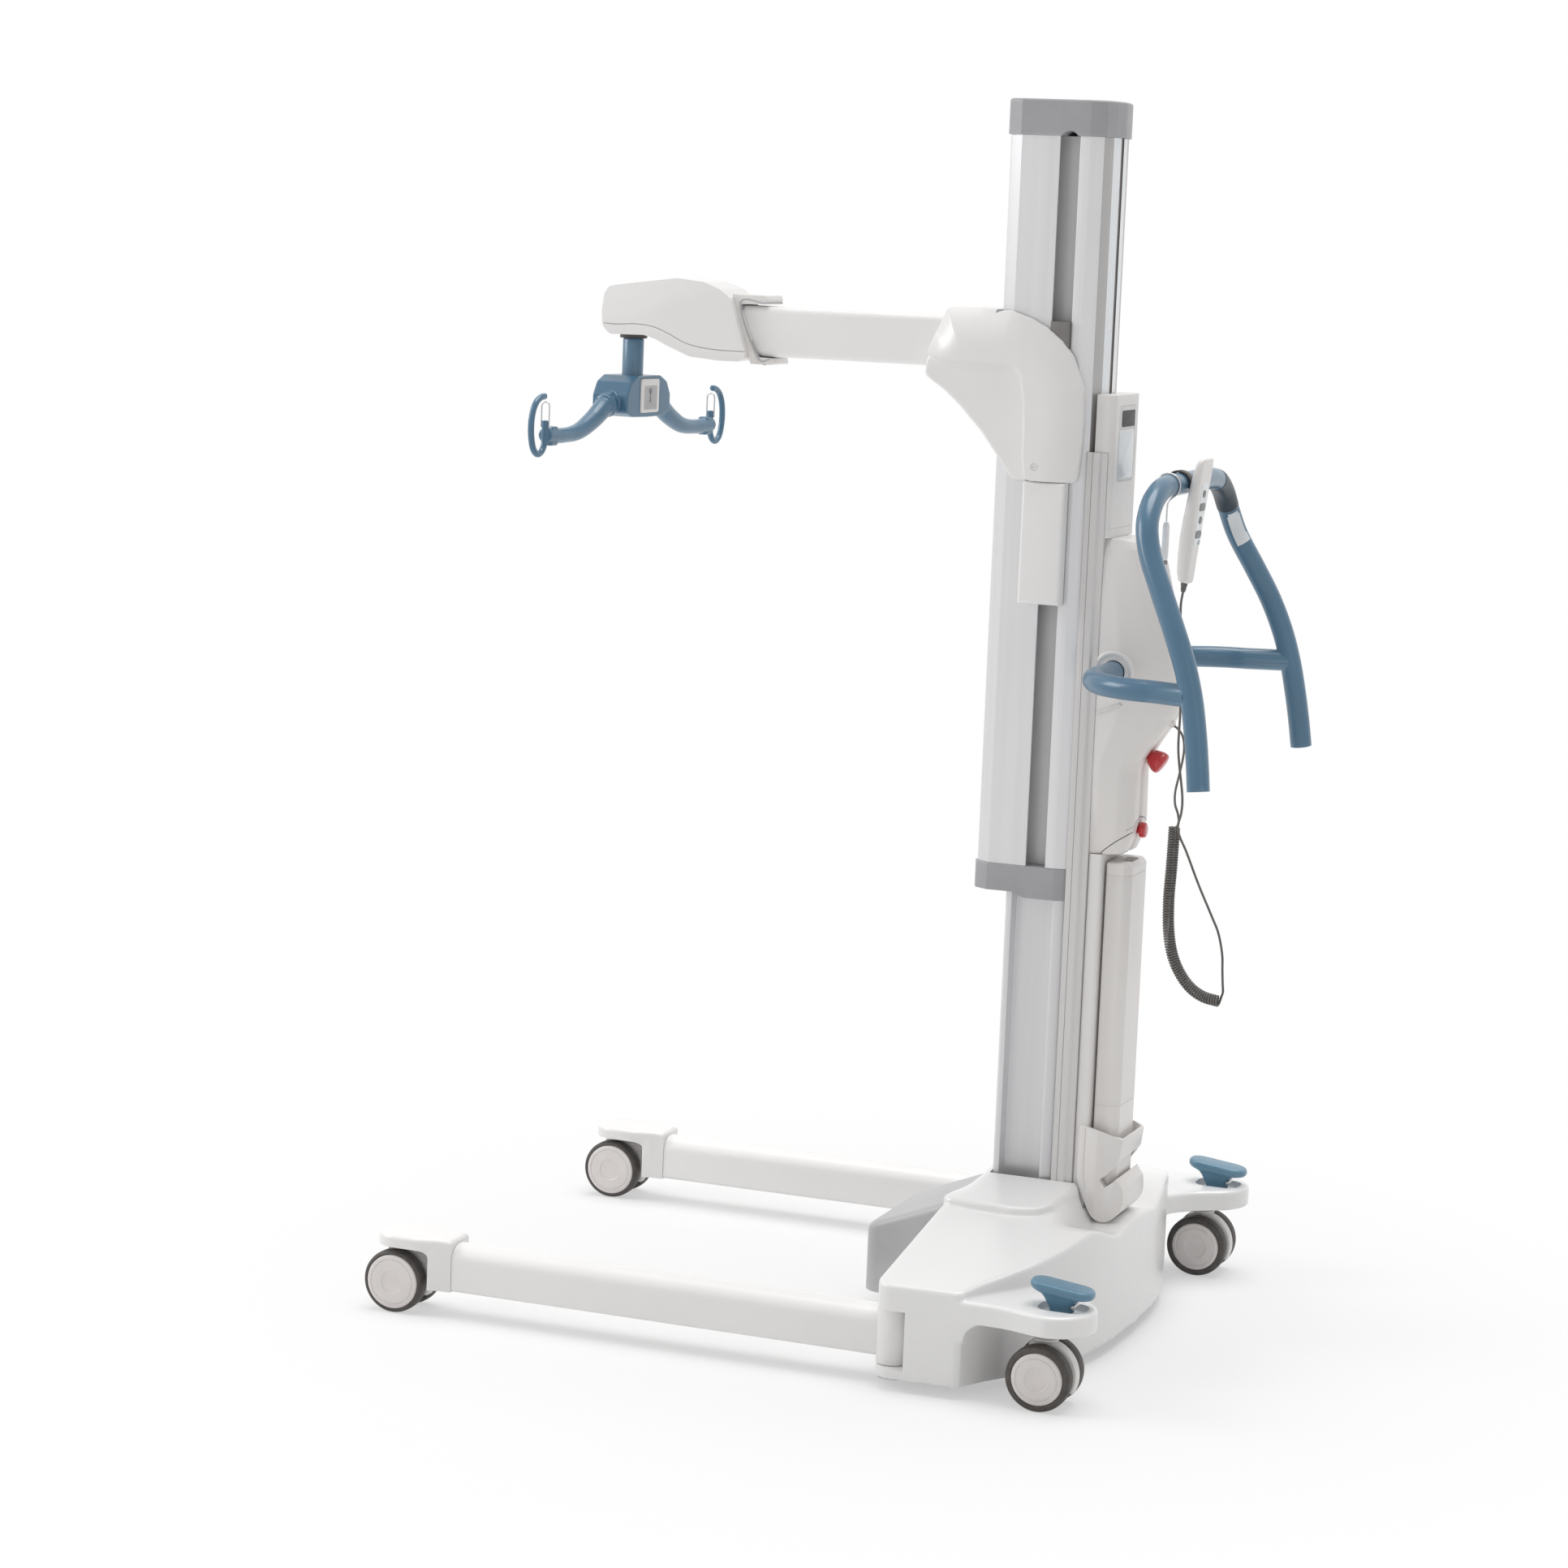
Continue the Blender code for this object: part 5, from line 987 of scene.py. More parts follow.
def makeElbow(shape):
    half, webHalf, yoke = shape["half"], shape["webHalf"], shape["yokeHalf"]
    body = extrudeOutline(filleted(shape["outer"], 0.012, 6), -half, half, "X")
    bevelWhere(body, lambda v: abs(abs(v.x) - half) < 1e-5 and (v.z > 1.53 or v.y > -0.2), 0.008, 5)
    web = extrudeOutline(filleted(shape["web"], 0.012, 6), -webHalf, webHalf, "X")
    bevelRim(web, "X", 0.0035, 3, both=True)
    fuse(body, web)
    meltTogether(body, 0.0019, 7)
    pillow = shape["pillow"]
    for vertex in body.data.vertices:
        near = max(0.0, 1 - gapTo(shape["rim"], vertex.co.y, vertex.co.z) / pillow["reach"])
        back = softStep(vertex.co.y, *pillow["along"])
        depth = pillow["front"] + (pillow["rear"] - pillow["front"]) * back
        vertex.co.x *= 1 - depth / half * near * near
    cutAway(body, block((-yoke, shape["yokeFront"], 1.2), (yoke, 0.0, 1.7)))
    cutAway(body, block((-0.0303, -0.4, 1.5007), (0.0303, -0.29, 1.5803)))
    middle, guide = shape["groove"], shape["guide"]
    cutPair(body, block((yoke - 0.001, middle - guide, 1.3), (yoke + 0.006, middle + guide, 1.5803)))
    screwY, screwZ = shape["screw"]
    well = turnProfile([(0, half - 0.0015), (0.0056, half - 0.0015), (0.0062, half + 0.02), (0, half + 0.02)], 40,
                       "X", (0, screwY, screwZ))
    head = turnProfile([(0, half - 0.0022), (0.0022, half - 0.0022), (0.0026, half - 0.0003), (0.0041, half - 0.0003),
                        (0.0051, half - 0.0008), (0.0051, half - 0.003), (0, half - 0.003)], 32, "X",
                       (0, screwY, screwZ))
    finishPair(head, "elbow_screw_{}", "carriage", "whitePlastic", "elbow_housing")
    cutPair(body, well)
    finishPiece(body, "elbow_moulded", "carriage", "whiteCoat", "elbow_housing", smooth=30)
    outline = [(yoke, -0.21), (0.092, -0.21), (0.092, -0.142), (yoke, -0.142)]
    cover = bevelRim(extrudeOutline(outline, 1.149, 1.3362), "X", 0.0055, 5)
    cutAway(cover, block((yoke - 0.001, middle - guide, 1.1), (yoke + 0.006, middle + guide, 1.4)))
    finishPair(cover, "carriage_shell_{}", "carriage", "whiteCoat", "carriage_cover_{}")
    slider = softenEdges(extrudeOutline(shape["slide"], 1.17, 1.58), 0.0012, 2)
    finishPair(slider, "slide_rail_{}", "carriage", "slideGreyAndSlotShade", "slide_block_{}")


makeElbow(elbowShape)

armShape = {
    "half": 0.03, "low": 1.501, "high": 1.58, "front": -0.775, "rear": -0.2903, "spindleY": -0.904,
    "cuff": mm((-721.5, 1596.5), (-686.3, 1489), (-652, 1489), (-650, 1492), (-652, 1499), (-676.5, 1500),
               (-708, 1582), (-666, 1583), (-663.5, 1590), (-666, 1596.5)),
    "lip": mm((-664, 1584.5), (-707, 1583.2), (-674.5, 1500), (-653, 1498)),
    "head": mm((-939, 1564), (-938, 1539), (-925, 1525), (-865, 1526), (-846, 1521), (-829, 1513), (-786, 1496),
               (-738, 1492), (-686.6, 1492), (-719, 1590), (-738, 1604), (-766, 1614), (-810, 1618), (-896, 1606),
               (-928, 1601), (-936, 1588)),
    "seam": mm((-945, 1543), (-915, 1541), (-880, 1543), (-850, 1540), (-822, 1530), (-790, 1516), (-745, 1509),
               (-680, 1508)),
}


def armRoom(shape, front, rear):
    # the arm's tube with a running gap round it
    half = shape["half"] + gap
    return block((-half, front, shape["low"] - gap), (half, rear, shape["high"] + gap))


def makeArm(shape):
    half, low, high = shape["half"], shape["low"], shape["high"]
    middle = (0.0, (low + high) / 2)
    tube = extrudeOutline(roundedBox(half, (high - low) / 2, 0.0115, middle, 8), shape["front"], shape["rear"], "Y")
    hollow = roundedBox(half - 0.004, (high - low) / 2 - 0.004, 0.008, middle)
    cutAway(tube, extrudeOutline(hollow, shape["front"] - 0.01, shape["rear"] + 0.01, "Y"))
    finishPiece(tube, "arm_tube", "carriage", "whiteCoat", "boom_tube")
    cuff = extrudeOutline(filleted(shape["cuff"], 0.0022, 4), -0.036, 0.036, "X")
    cutAway(cuff, armRoom(shape, -0.9, -0.5))
    softenEdges(cuff, 0.0012, 3, 40)
    finishPiece(cuff, "arm_cuff", "carriage", "whitePlastic", "boom_cuff", slot="pale_grey")
    lip = band(shape["lip"], 40, 0.0026, -0.0368, 0.0368)
    cutAway(lip, armRoom(shape, -0.9, -0.5))
    finishPiece(lip, "arm_cuff_lip", "carriage", "coverGrey", "boom_cuff")
    screw = turnProfile(mm((0, 1487.8), (2.6, 1487.8), (3.2, 1488.4), (3.2, 1489.6), (0, 1489.6)), 24, "Z",
                        (0.022, -0.668, 0))
    finishPiece(fuse(mirrorOf(screw), screw), "arm_cuff_screws", "carriage", "darkPlastic", "boom_cuff")
    head = extrudeOutline(filleted(shape["head"], 0.014, 6), -0.05, 0.05, "X")
    bevelRim(head, "X", 0.012, 7, both=True)
    cutAway(head, armRoom(shape, shape["front"] - gap, -0.6))
    cutAway(head, bar(0.0128, 1.4, 1.572, "Z", (0, shape["spindleY"]), 64))
    seam = band(shape["seam"], 60, 0.0013, 0.047, 0.06)
    cutPair(head, seam)
    finishPiece(head, "head_moulded", "carriage", "whiteCoat", "boom_head", smooth=30)
    ring = mm((12.8, 1518.7), (21.2, 1518.7), (22, 1519.5), (22, 1523.9), (21.2, 1524.7), (12.8, 1524.7))
    finishPiece(turnProfile(ring, 64, "Z", (0, shape["spindleY"], 0), ring=True), "spindle_washer", "carriage",
                "darkPlastic", "spindle_ring")


makeArm(armShape)
print("arm made")


# Spreader bar with its two loops

spreaderShape = {
    "axis": (0.0, -0.904), "turn": math.radians(-5), "hookX": 0.2765, "wire": 0.0052,
    "arm": mm((45, 1424), (85, 1413), (130, 1390), (175, 1374), (225, 1370), (276.5, 1372)),
    "loop": mm((0, 1395), (0, 1375), (1.5, 1358), (9.5, 1347), (22.5, 1343.5), (36, 1354), (43, 1378), (41, 1404),
               (31, 1422), (16.5, 1430.5), (2.5, 1432.5)),
    "hub": mm((0, 1460), (38, 1460), (60, 1450), (72, 1430), (72, 1402), (52, 1395), (0, 1394)),
}


def onSpreader(obj, shape):
    # from the spreader's own coordinates to the lift's
    turn = Matrix.Rotation(shape["turn"], 4, "Z")
    return moved(obj, Matrix.Translation((*shape["axis"], 0)) @ turn)


def makeSpreader(shape):
    hub = extrudeOutline(filleted(bothHalves(shape["hub"]), 0.006, 5), -0.032, 0.032, "Y")
    bevelRim(hub, "Y", 0.0055, 5, both=True)
    for sign in (-1, 1):
        route = through([(sign * x, 0, z) for x, z in shape["arm"]], 60)
        radii = [1.15 - 0.37 * min(1, i / 42) for i in range(60)]
        arm = sweepTube(route, 0.0155, 8, radii)
        loop = sweepTube(through([(sign * (shape["hookX"] + x), 0, z) for x, z in shape["loop"]], 90), shape["wire"],
                         6)
        ribs = []
        for middle, reach in ((0.083, 0.0196), (0.23, 0.0122)):
            spot = min(range(60), key=lambda i: abs(abs(route[i].x) - middle))
            ribs.append(sweepTube(route[spot - 1:spot + 2], reach, 8))
        tail = extrudeOutline(roundedBox(0.0085, 0.015, 0.003, (0, 1.3705)), 0.249, 0.2688, "X")
        if sign < 0:
            mirrored(tail)
        ribs.append(tail)
        fuse(hub, arm, loop, *ribs)
    meltTogether(hub, 0.0013, 9)
    cutAway(hub, block((-0.03, 0.0295, 1.401), (0.03, 0.05, 1.4555)))
    cutAway(hub, bar(0.0173, 1.4517, 1.6, "Z", (0, 0), 64))
    finishPiece(onSpreader(hub, shape), "spreader_coated", "spreader", "blueCoat", "spreader_bar", smooth=65)
    shank = turnProfile(mm((0, 1452), (17, 1452), (17, 1516.2), (16, 1518.4), (12.5, 1518.4), (12.5, 1571.5),
                           (0, 1571.5)), 64)
    finishPiece(onSpreader(shank, shape), "spindle_turned", "spreader", "blueCoat", "spindle")
    plate = extrudeOutline(roundedBox(0.0297, 0.02695, 0.0045, (0, 1.42825)), 0.0298, 0.0345, "Y")
    bevelRim(plate, "Y", 0.0016, 3)
    key = fuse(bar(0.005, 0.0, 0.1, "Y", (0, 1.436), 32), block((-0.0022, 0.0, 1.418), (0.0022, 0.1, 1.436)))
    face = extrudeOutline(roundedBox(0.0215, 0.019, 0.003, (0, 1.4255)), 0.0337, 0.0349, "Y")
    cutAway(plate, copyOf(key), copyOf(face))
    cutAway(face, key)
    for vertex in face.data.vertices:
        vertex.co.y -= 0.0008
    finishPiece(onSpreader(plate, shape), "hub_cover_plate", "spreader", "whitePlastic", "hub_plate")
    finishPiece(onSpreader(face, shape), "hub_plate_face", "spreader", "coverGrey", "hub_plate")
    half = shape["wire"] + gap + 0.0013
    top, foot = 1.4235, 1.384
    height = top - foot
    route = [(0, -half, foot), (0, -half, foot + height * 0.4), (0, -half, foot + height * 0.8),
             (0, -half * 0.75, foot + height * 0.95), (0, 0, top), (0, half * 0.75, foot + height * 0.95),
             (0, half, foot + height * 0.8), (0, half, foot + height * 0.4), (0, half, foot)]
    for side, sign in sides:
        gate = sweepTube(through(route, 60), 0.00125, 4)
        shifted(gate, sign * shape["hookX"], 0, 0)
        finishPiece(onSpreader(gate, shape), f"gate_wire_{side}", f"{side}_gate", "steel", f"hook_gate_{side}")


makeSpreader(spreaderShape)
print("spreader made")


# Control box, status cover and handle

controlShape = {
    "levels": mm((768, -36, 44, 58), (771, -34, 44, 58.5), (790, -26, 45, 60), (815, -21, 45, 62),
                 (860, -21, 42, 64), (898, -21, 40, 64.5), (912, -17, 39, 64.5), (940, 0, 33, 64.5),
                 (968, 19, 26, 64.5), (990, 31, 22, 64.5), (1010, 36, 20, 64.5), (1045, 36, 22, 64.5),
                 (1100, 24, 28, 64.5), (1170, 6, 35, 64), (1218, -8, 41, 62), (1240, -20, 43, 58),
                 (1252, -36, 44, 52), (1255, -42, 44, 50)),
    "collar": mm((0, 50), (33.5, 50), (33.2, 66), (32.5, 67.7), (31.2, 68.7), (30, 69), (28.5, 68.9), (27, 68),
                 (25.2, 66.4), (24.5, 65.5), (0, 65.5)),
    "collarPlace": (-0.058, 1.052), "back": -0.0832, "lean": math.radians(33), "stop": (0.0, -0.0125, 0.9215),
    "knob": (0.0, -0.0225, 0.803), "outlet": (0.01, 0.0226, 0.9735),
    "cheekSeam": mm((-70.5, 760), (-65, 771), (-45, 788), (-21.5, 804), (-10, 812)),
    "rearSeam": mm((-62, 803.5), (-44, 808.5), (-22, 819), (0, 822.5), (22, 819), (44, 808.5), (62, 803.5)),
    "tab": mm((-82.5, 983.5), (-82.5, 989), (-46, 1005.5), (-41, 1002), (-44, 998.5)),
}


def controlRing(z, rear, backHalf, sideHalf):
    front = -0.107
    inset = sideHalf - backHalf
    corner = [(sideHalf, front), (sideHalf, (front + rear) / 2 - 0.01),
              (sideHalf - inset * 0.35, rear - (rear - front) * 0.24), (backHalf + inset * 0.12, rear - 0.006),
              (backHalf * 0.8, rear), (0.0, rear)]
    half = filleted(corner + [(0.0, front - 0.02)], 0.012, 3)
    half = [point for point in half if point[1] >= front - 1e-6 and point[0] > 1e-6]
    half = [(sideHalf, front)] + half[1:] if abs(half[0][1] - front) > 1e-4 else half
    return [Vector((x, y, z)) for x, y in half] + [Vector((-x, y, z)) for x, y in reversed(half)]


def slanted(obj, place, lean):
    return moved(obj, Matrix.Translation(Vector(place)) @ Matrix.Rotation(-math.pi / 2 - lean, 4, "X"))


def makeControlBox(shape):
    rings = [controlRing(*level) for level in shape["levels"]]
    body = bridgeRings(rings)
    meltTogether(body, 0.0018, 5)
    y, z = shape["collarPlace"]
    for sign in (-1, 1):
        fuse(body, turnProfile([(r, sign * x) for r, x in shape["collar"]], 72, "X", (0, y, z)))
    cutAway(body, block((-0.1, -0.2, 0.7), (0.1, shape["back"], 1.4)), bar(0.018, -0.2, 0.2, "X", (y, z), 64))
    seat = turnProfile(mm((0, -22), (8.5, -22), (8.5, -0.6), (13.3, -0.6), (13.3, 30), (0, 30)), 48)
    cutAway(body, slanted(seat, shape["stop"], shape["lean"]))
    knobX, _, knobZ = shape["knob"]
    cutAway(body, bar(0.0063, -0.04, 0.0, "Y", (knobX, knobZ), 32))
    outlet = turnProfile(mm((0, -4), (5.5, -4), (5.5, 3.8), (5, 5.2), (4, 6), (0, 6)), 40)
    fuse(body, slanted(outlet, shape["outlet"], shape["lean"]))
    cheek = band(shape["cheekSeam"], 40, 0.0013, 0.03, 0.08)
    rearSeam = band(shape["rearSeam"], 40, 0.0013, -0.03, 0.02, "Y")
    cutAway(cutPair(body, cheek), rearSeam)
    finishPiece(body, "control_box_moulded", "base", "whitePlastic", "control_housing", smooth=30)
    tab = extrudeOutline(filleted(shape["tab"], 0.0022, 4), 0.06, 0.0672, "X")
    bevelRim(tab, "X", 0.0012, 3)
    finishPair(tab, "collar_tab_{}", "base", "columnGrey", "control_housing")
    cap = turnProfile(mm((0, -18), (8, -18), (8, 4), (11.8, 4), (12.5, 4.7), (13.7, 8), (15.3, 12), (16.8, 15.8),
                         (17.4, 18.7), (17.5, 21.5), (17.2, 24), (16, 26.1), (13.7, 27.5), (10, 28.4), (5, 28.9),
                         (0, 29)), 64)
    finishPiece(slanted(cap, shape["stop"], shape["lean"]), "stop_mushroom", "stop", "redPlastic", "stop_button")
    knob = turnProfile(mm((0, -12), (6, -12), (6, 1.5), (10.2, 1.5), (11.5, 2.3), (12, 3.6), (12, 8.5), (11.5, 10.2),
                          (10, 11.3), (6, 11.9), (0, 12)), 64, "Y", shape["knob"])
    finishPiece(knob, "lowering_knob_turned", "knob", "redPlastic", "lowering_knob")


makeControlBox(controlShape)

statusShape = {
    "half": mm((0, -100.5), (35, -104.5), (60.5, -106), (64.5, -106), (64.5, -84), (58, -75.5), (0, -75.5)),
    "low": 1.2555, "high": 1.473, "panelZ": 1.398, "seam": 1.2695,
    "window": (0.033, 0.0125, -0.006, 1.436), "plate": (0.0395, 0.037, 0.0, 1.3815),
}


def makeStatusCover(shape):
    cover = profileBar(shape["half"], shape["low"], shape["high"], 0.004)
    bevelRim(cover, "Z", 0.004, 4)
    cutAway(cover, block((-0.08, -0.12, 1.2), (0.08, -0.0832, 1.3853)))
    middle = (0.0, shape["panelZ"])
    cutAway(cover, extrudeOutline(roundedBox(0.0425, 0.058, 0.006, middle), -0.077, -0.06, "Y"))
    height = shape["seam"]
    rim = block((-0.08, -0.12, height - 0.0004), (0.08, -0.05, height + 0.0004))
    core = [(x - 0.0009 if x > 1e-6 else x, y if y < -0.08 else y - 0.0009) for x, y in shape["half"]]
    cutAway(cover, cutAway(rim, profileBar(core, height - 0.01, height + 0.01, 0.0035)))
    finishPiece(cover, "status_cover_moulded", "base", "whitePlastic", "status_cover")
    panel = extrudeOutline(roundedBox(0.0422, 0.0577, 0.0057, middle), -0.0767, -0.0756, "Y")
    bevelRim(panel, "Y", 0.0004, 2)
    finishPiece(panel, "status_panel_face", "base", "columnGrey", "status_panel")
    for name, finish, slot, radius in (("window", "display", "dark", 0.0026), ("plate", "label", "pale_grey", 0.008)):
        halfX, halfZ, x, z = shape[name]
        piece = extrudeOutline(roundedBox(halfX, halfZ, radius, (x, z), 8), -0.076, -0.0749, "Y")
        bevelRim(piece, "Y", 0.0004, 3)
        finishPiece(piece, f"status_{name}", "base", finish, "status_panel", slot=slot)


makeStatusCover(statusShape)

handleShape = {
    "radius": 0.017, "barZ": 1.052, "barY": -0.058, "bend": 0.12, "reach": 0.27,
    "hoop": mm((305, 151, 915), (301, 146, 955), (296, 139, 1000), (291, 129, 1050), (287, 114, 1100),
               (281, 93, 1150), (266, 68, 1200), (247, 43, 1250), (230, 31, 1290), (202, 28, 1320), (165, 28, 1338),
               (125, 28, 1344.5), (75, 28, 1345)),
    "sleeve": ((-0.15, 1.34), (-0.226, 1.296)), "label": ((-0.229, 1.292), (-0.252, 1.241)),
    "labelWay": (0.9, 0.42, 0.2), "tagX": 0.117,
}


def makeHandleLabel(shape, line):
    # a bare label wrapped round the side of the tube
    label = sweepTube(line, shape["radius"] + 0.0002, 20)
    way = Vector(shape["labelWay"]).normalized()
    ahead = (line[-1] - line[0]).normalized()
    selectOnly(label, "FACE", lambda face: face.normal.dot(way) < 0.72 or abs(face.normal.dot(ahead)) > 0.7)
    bpy.ops.mesh.delete(type="FACE")
    applied(endEditing(label), "SOLIDIFY", thickness=0.0006, offset=1.0)
    finishPiece(label, "handle_label", "base", "label", "handle_frame", smooth=40)


def makeHandleTag(shape):
    x, y, top = shape["tagX"], 0.028, 1.345
    hook = [(x, y + 0.0185 * math.sin(t), top + 0.0185 * math.cos(t))
            for t in (math.radians(v) for v in range(-150, 151, 12))]
    wire = hook + [(x, y + 0.006, 1.3262), (x, y + 0.001, 1.32), (x, y, 1.31), (x, y, 1.296), (x, y, 1.286)]
    finishPiece(sweepTube(through(wire, 90), 0.0013, 4), "handle_tag_wire", "base", "steel", "handle_frame",
                smooth=40)
    tag = extrudeOutline(roundedBox(0.0085, 0.029, 0.0082, (x, 1.261), 10), y - 0.003, y + 0.003, "Y")
    bevelRim(tag, "Y", 0.0022, 4, both=True)
    finishPiece(tag, "handle_tag", "base", "label", "handle_frame", smooth=40)
    foot = extrudeOutline(roundedBox(0.005, 0.0034, 0.003, (x, 1.23), 6), y - 0.0036, y + 0.0036, "Y")
    finishPiece(softenEdges(foot, 0.0009, 2), "handle_tag_foot", "base", "slideGreyAndSlotShade", "handle_frame")


def nearest(line, spot):
    # the place in the line that lies nearest to a spot of the rear view
    return min(range(len(line)), key=lambda i: (line[i].x - spot[0]) ** 2 + (line[i].z - spot[1]) ** 2)


def makeHandle(shape):
    hoop = shape["hoop"] + [(-x, y, z) for x, y, z in reversed(shape["hoop"])]
    frameTube = sweepTube(through(hoop, 220), shape["radius"], 10)
    bend, reach = shape["bend"], shape["reach"]
    curve = [(x, y, shape["barZ"]) for x, y in arcPoints((reach - bend, shape["barY"] + bend), bend, 270, 360, 28)]
    half = curve + [(reach + 0.02, 0.124, shape["barZ"])]
    cross = sweepTube([Vector((-x, y, z)) for x, y, z in reversed(half)] + [Vector(p) for p in half], shape["radius"],
                      10)
    fuse(frameTube, cross)
    softenEdges(frameTube, 0.0022, 3, 30)
    finishPiece(frameTube, "handle_coated", "base", "blueCoat", "handle_frame", smooth=40)
    line = through(hoop, 440)
    start, end = (nearest(line, spot) for spot in shape["sleeve"])
    count = end - start
    radii = [1.0 - 0.6 * max(0.0, 1 - min(i, count - i) / 3) * 0.02 for i in range(count + 1)]
    sleeve = sweepTube(line[start:end + 1], shape["radius"] + 0.0007, 12, radii)
    softenEdges(sleeve, 0.0005, 2)
    finishPiece(sleeve, "handle_sleeve", "base", "deepBlue", "handle_frame", smooth=40)
    start, end = (nearest(line, spot) for spot in shape["label"])
    makeHandleLabel(shape, line[start:end + 1])
    makeHandleTag(shape)


makeHandle(handleShape)
print("control box and handle made")


# Battery and the pocket that it stands in

batteryShape = {
    "half": 0.048, "low": 0.232, "high": 0.755, "front": -0.0585, "back": -0.0185,
    "pocketHalf": 0.0665, "pocketFront": -0.0745, "behind": -0.0619,
    "notch": mm((-35, 251.5), (-21.5, 262.5), (-9, 279), (3, 300)),
    "fold": [(-0.064, 0.335), (-0.064, 0.262), (-0.059, 0.24)],
    "tab": mm((-74.5, 262), (-71.2, 244), (-63.4, 226.2), (-52.9, 204.5), (-44, 195), (-34, 190.5), (-24, 191.5),
              (-15, 197.5), (-6.5, 208), (-1.8, 220), (-1.5, 233), (-3, 246)),
    "side": [(-0.0135, 0.259), (-0.0055, 0.324), (-0.0745, 0.343)],
}


def makeBattery(shape):
    half, front, back, high = shape["half"], shape["front"], shape["back"], shape["high"]
    outline = bothHalves([(0.0, front), (half, front), (half, back - 0.012), (half - 0.01, back), (0.0, back)])
    pack = extrudeOutline(filleted(outline, 0.0045, 5), shape["low"], high)
    bevelRim(pack, "Z", 0.004, 4)
    cutAway(pack, extrudeOutline([(-0.04, high + 0.01), (0.0, high + 0.01), (0.0, high - 0.022)], -0.1, 0.1, "X"))
    cutAway(pack, extrudeOutline(roundedBox(0.024, 0.0095, 0.006, (0.0, -0.036)), high - 0.02, high + 0.1))
    for height in (0.372, 0.735):
        rim = [(x * 1.02, (y + 0.0385) * 1.02 - 0.0385) for x, y in filleted(outline, 0.0045, 5)]
        seam = extrudeOutline(rim, height, height + 0.0009)
        core = [(x * 0.985, (y + 0.0385) * 0.965 - 0.0385) for x, y in filleted(outline, 0.0045, 5)]
        cutAway(seam, extrudeOutline(core, height - 0.01, height + 0.01))
        cutAway(pack, seam)
    softenEdges(pack, 0.0006, 2, 40)
    finishPiece(pack, "battery_case", "battery", "whitePlastic", "battery_pack", slot="shaded_white")


makeBattery(batteryShape)


def makePocket(shape):
    half = shape["pocketHalf"]
    outline = filleted(flatCurve(shape["tab"], 40) + shape["side"], 0.006, 4)
    body = extrudeOutline(outline, -half, half, "X")
    corner = extrudeOutline([(half + 0.0003, -0.046), (0.09, -0.046), (0.09, 0.02), (half - 0.0145, 0.02)], 0.1, 0.4)
    cutPair(body, corner)
    bevelWhere(body, lambda v: v.y > -0.074 and abs(v.x) > half - 0.016, 0.0018, 3)
    cutAway(body, block((-0.0623, shape["pocketFront"] - 0.01, 0.1), (0.0623, shape["behind"], 0.4)))
    room = shape["half"] + 0.0015
    behind, back = shape["behind"] - 0.01, shape["back"]
    low = bothHalves([(0.0, back + 0.0003), (shape["half"] - 0.008, back + 0.0003), (room, back - 0.012),
                      (room, behind)])
    high = bothHalves([(0.0, -0.008), (0.05, -0.008), (0.06, -0.022), (0.06, behind)])
    rings = [[Vector((x, y, z)) for x, y in ring] for z, ring in ((shape["low"] - 0.0003, low), (0.325, high),
                                                                  (0.36, high))]
    cutAway(body, bridgeRings(rings))
    notch = extrudeOutline(filleted(ribbon(flatCurve(shape["notch"], 16), 0.015), 0.0068, 7), -0.1, 0.1, "X")
    cutAway(body, notch)
    cutPair(body, band(shape["fold"], 30, 0.001, half - 0.0009, half + 0.01))
    softenEdges(body, 0.0006, 2, 40)
    finishPiece(body, "battery_tray", "base", "whitePlastic", "battery_pocket", slot="pale_grey")


makePocket(batteryShape)
print("battery made")


# Handset and its hook

handsetShape = {
    "place": (0.055, 0.0535, 1.293), "lean": math.radians(-5.8),
    "face": 0.0095,
    "rows": mm((-97, 12, 5.8), (-95.5, 16, 7.5), (-93, 19, 8.6), (-80, 21.5, 10), (-55, 22.8, 11.2), (-30, 24, 11.6),
               (0, 26.4, 10.8), (30, 29, 9.4), (55, 31, 8), (70, 32, 7), (82, 31.2, 6), (88, 29.6, 5.3),
               (91.5, 26.8, 4.6), (93, 23.6, 3.8)),
    "keys": (("top_key", "handset_button_top", 0.04, 0.0055), ("upper_rocker", "handset_rocker_upper", 0.02, 0.014),
             ("low_key", "handset_button_low", 0.0, 0.0055), ("lower_rocker", "handset_rocker_lower", -0.022, 0.014)),
}


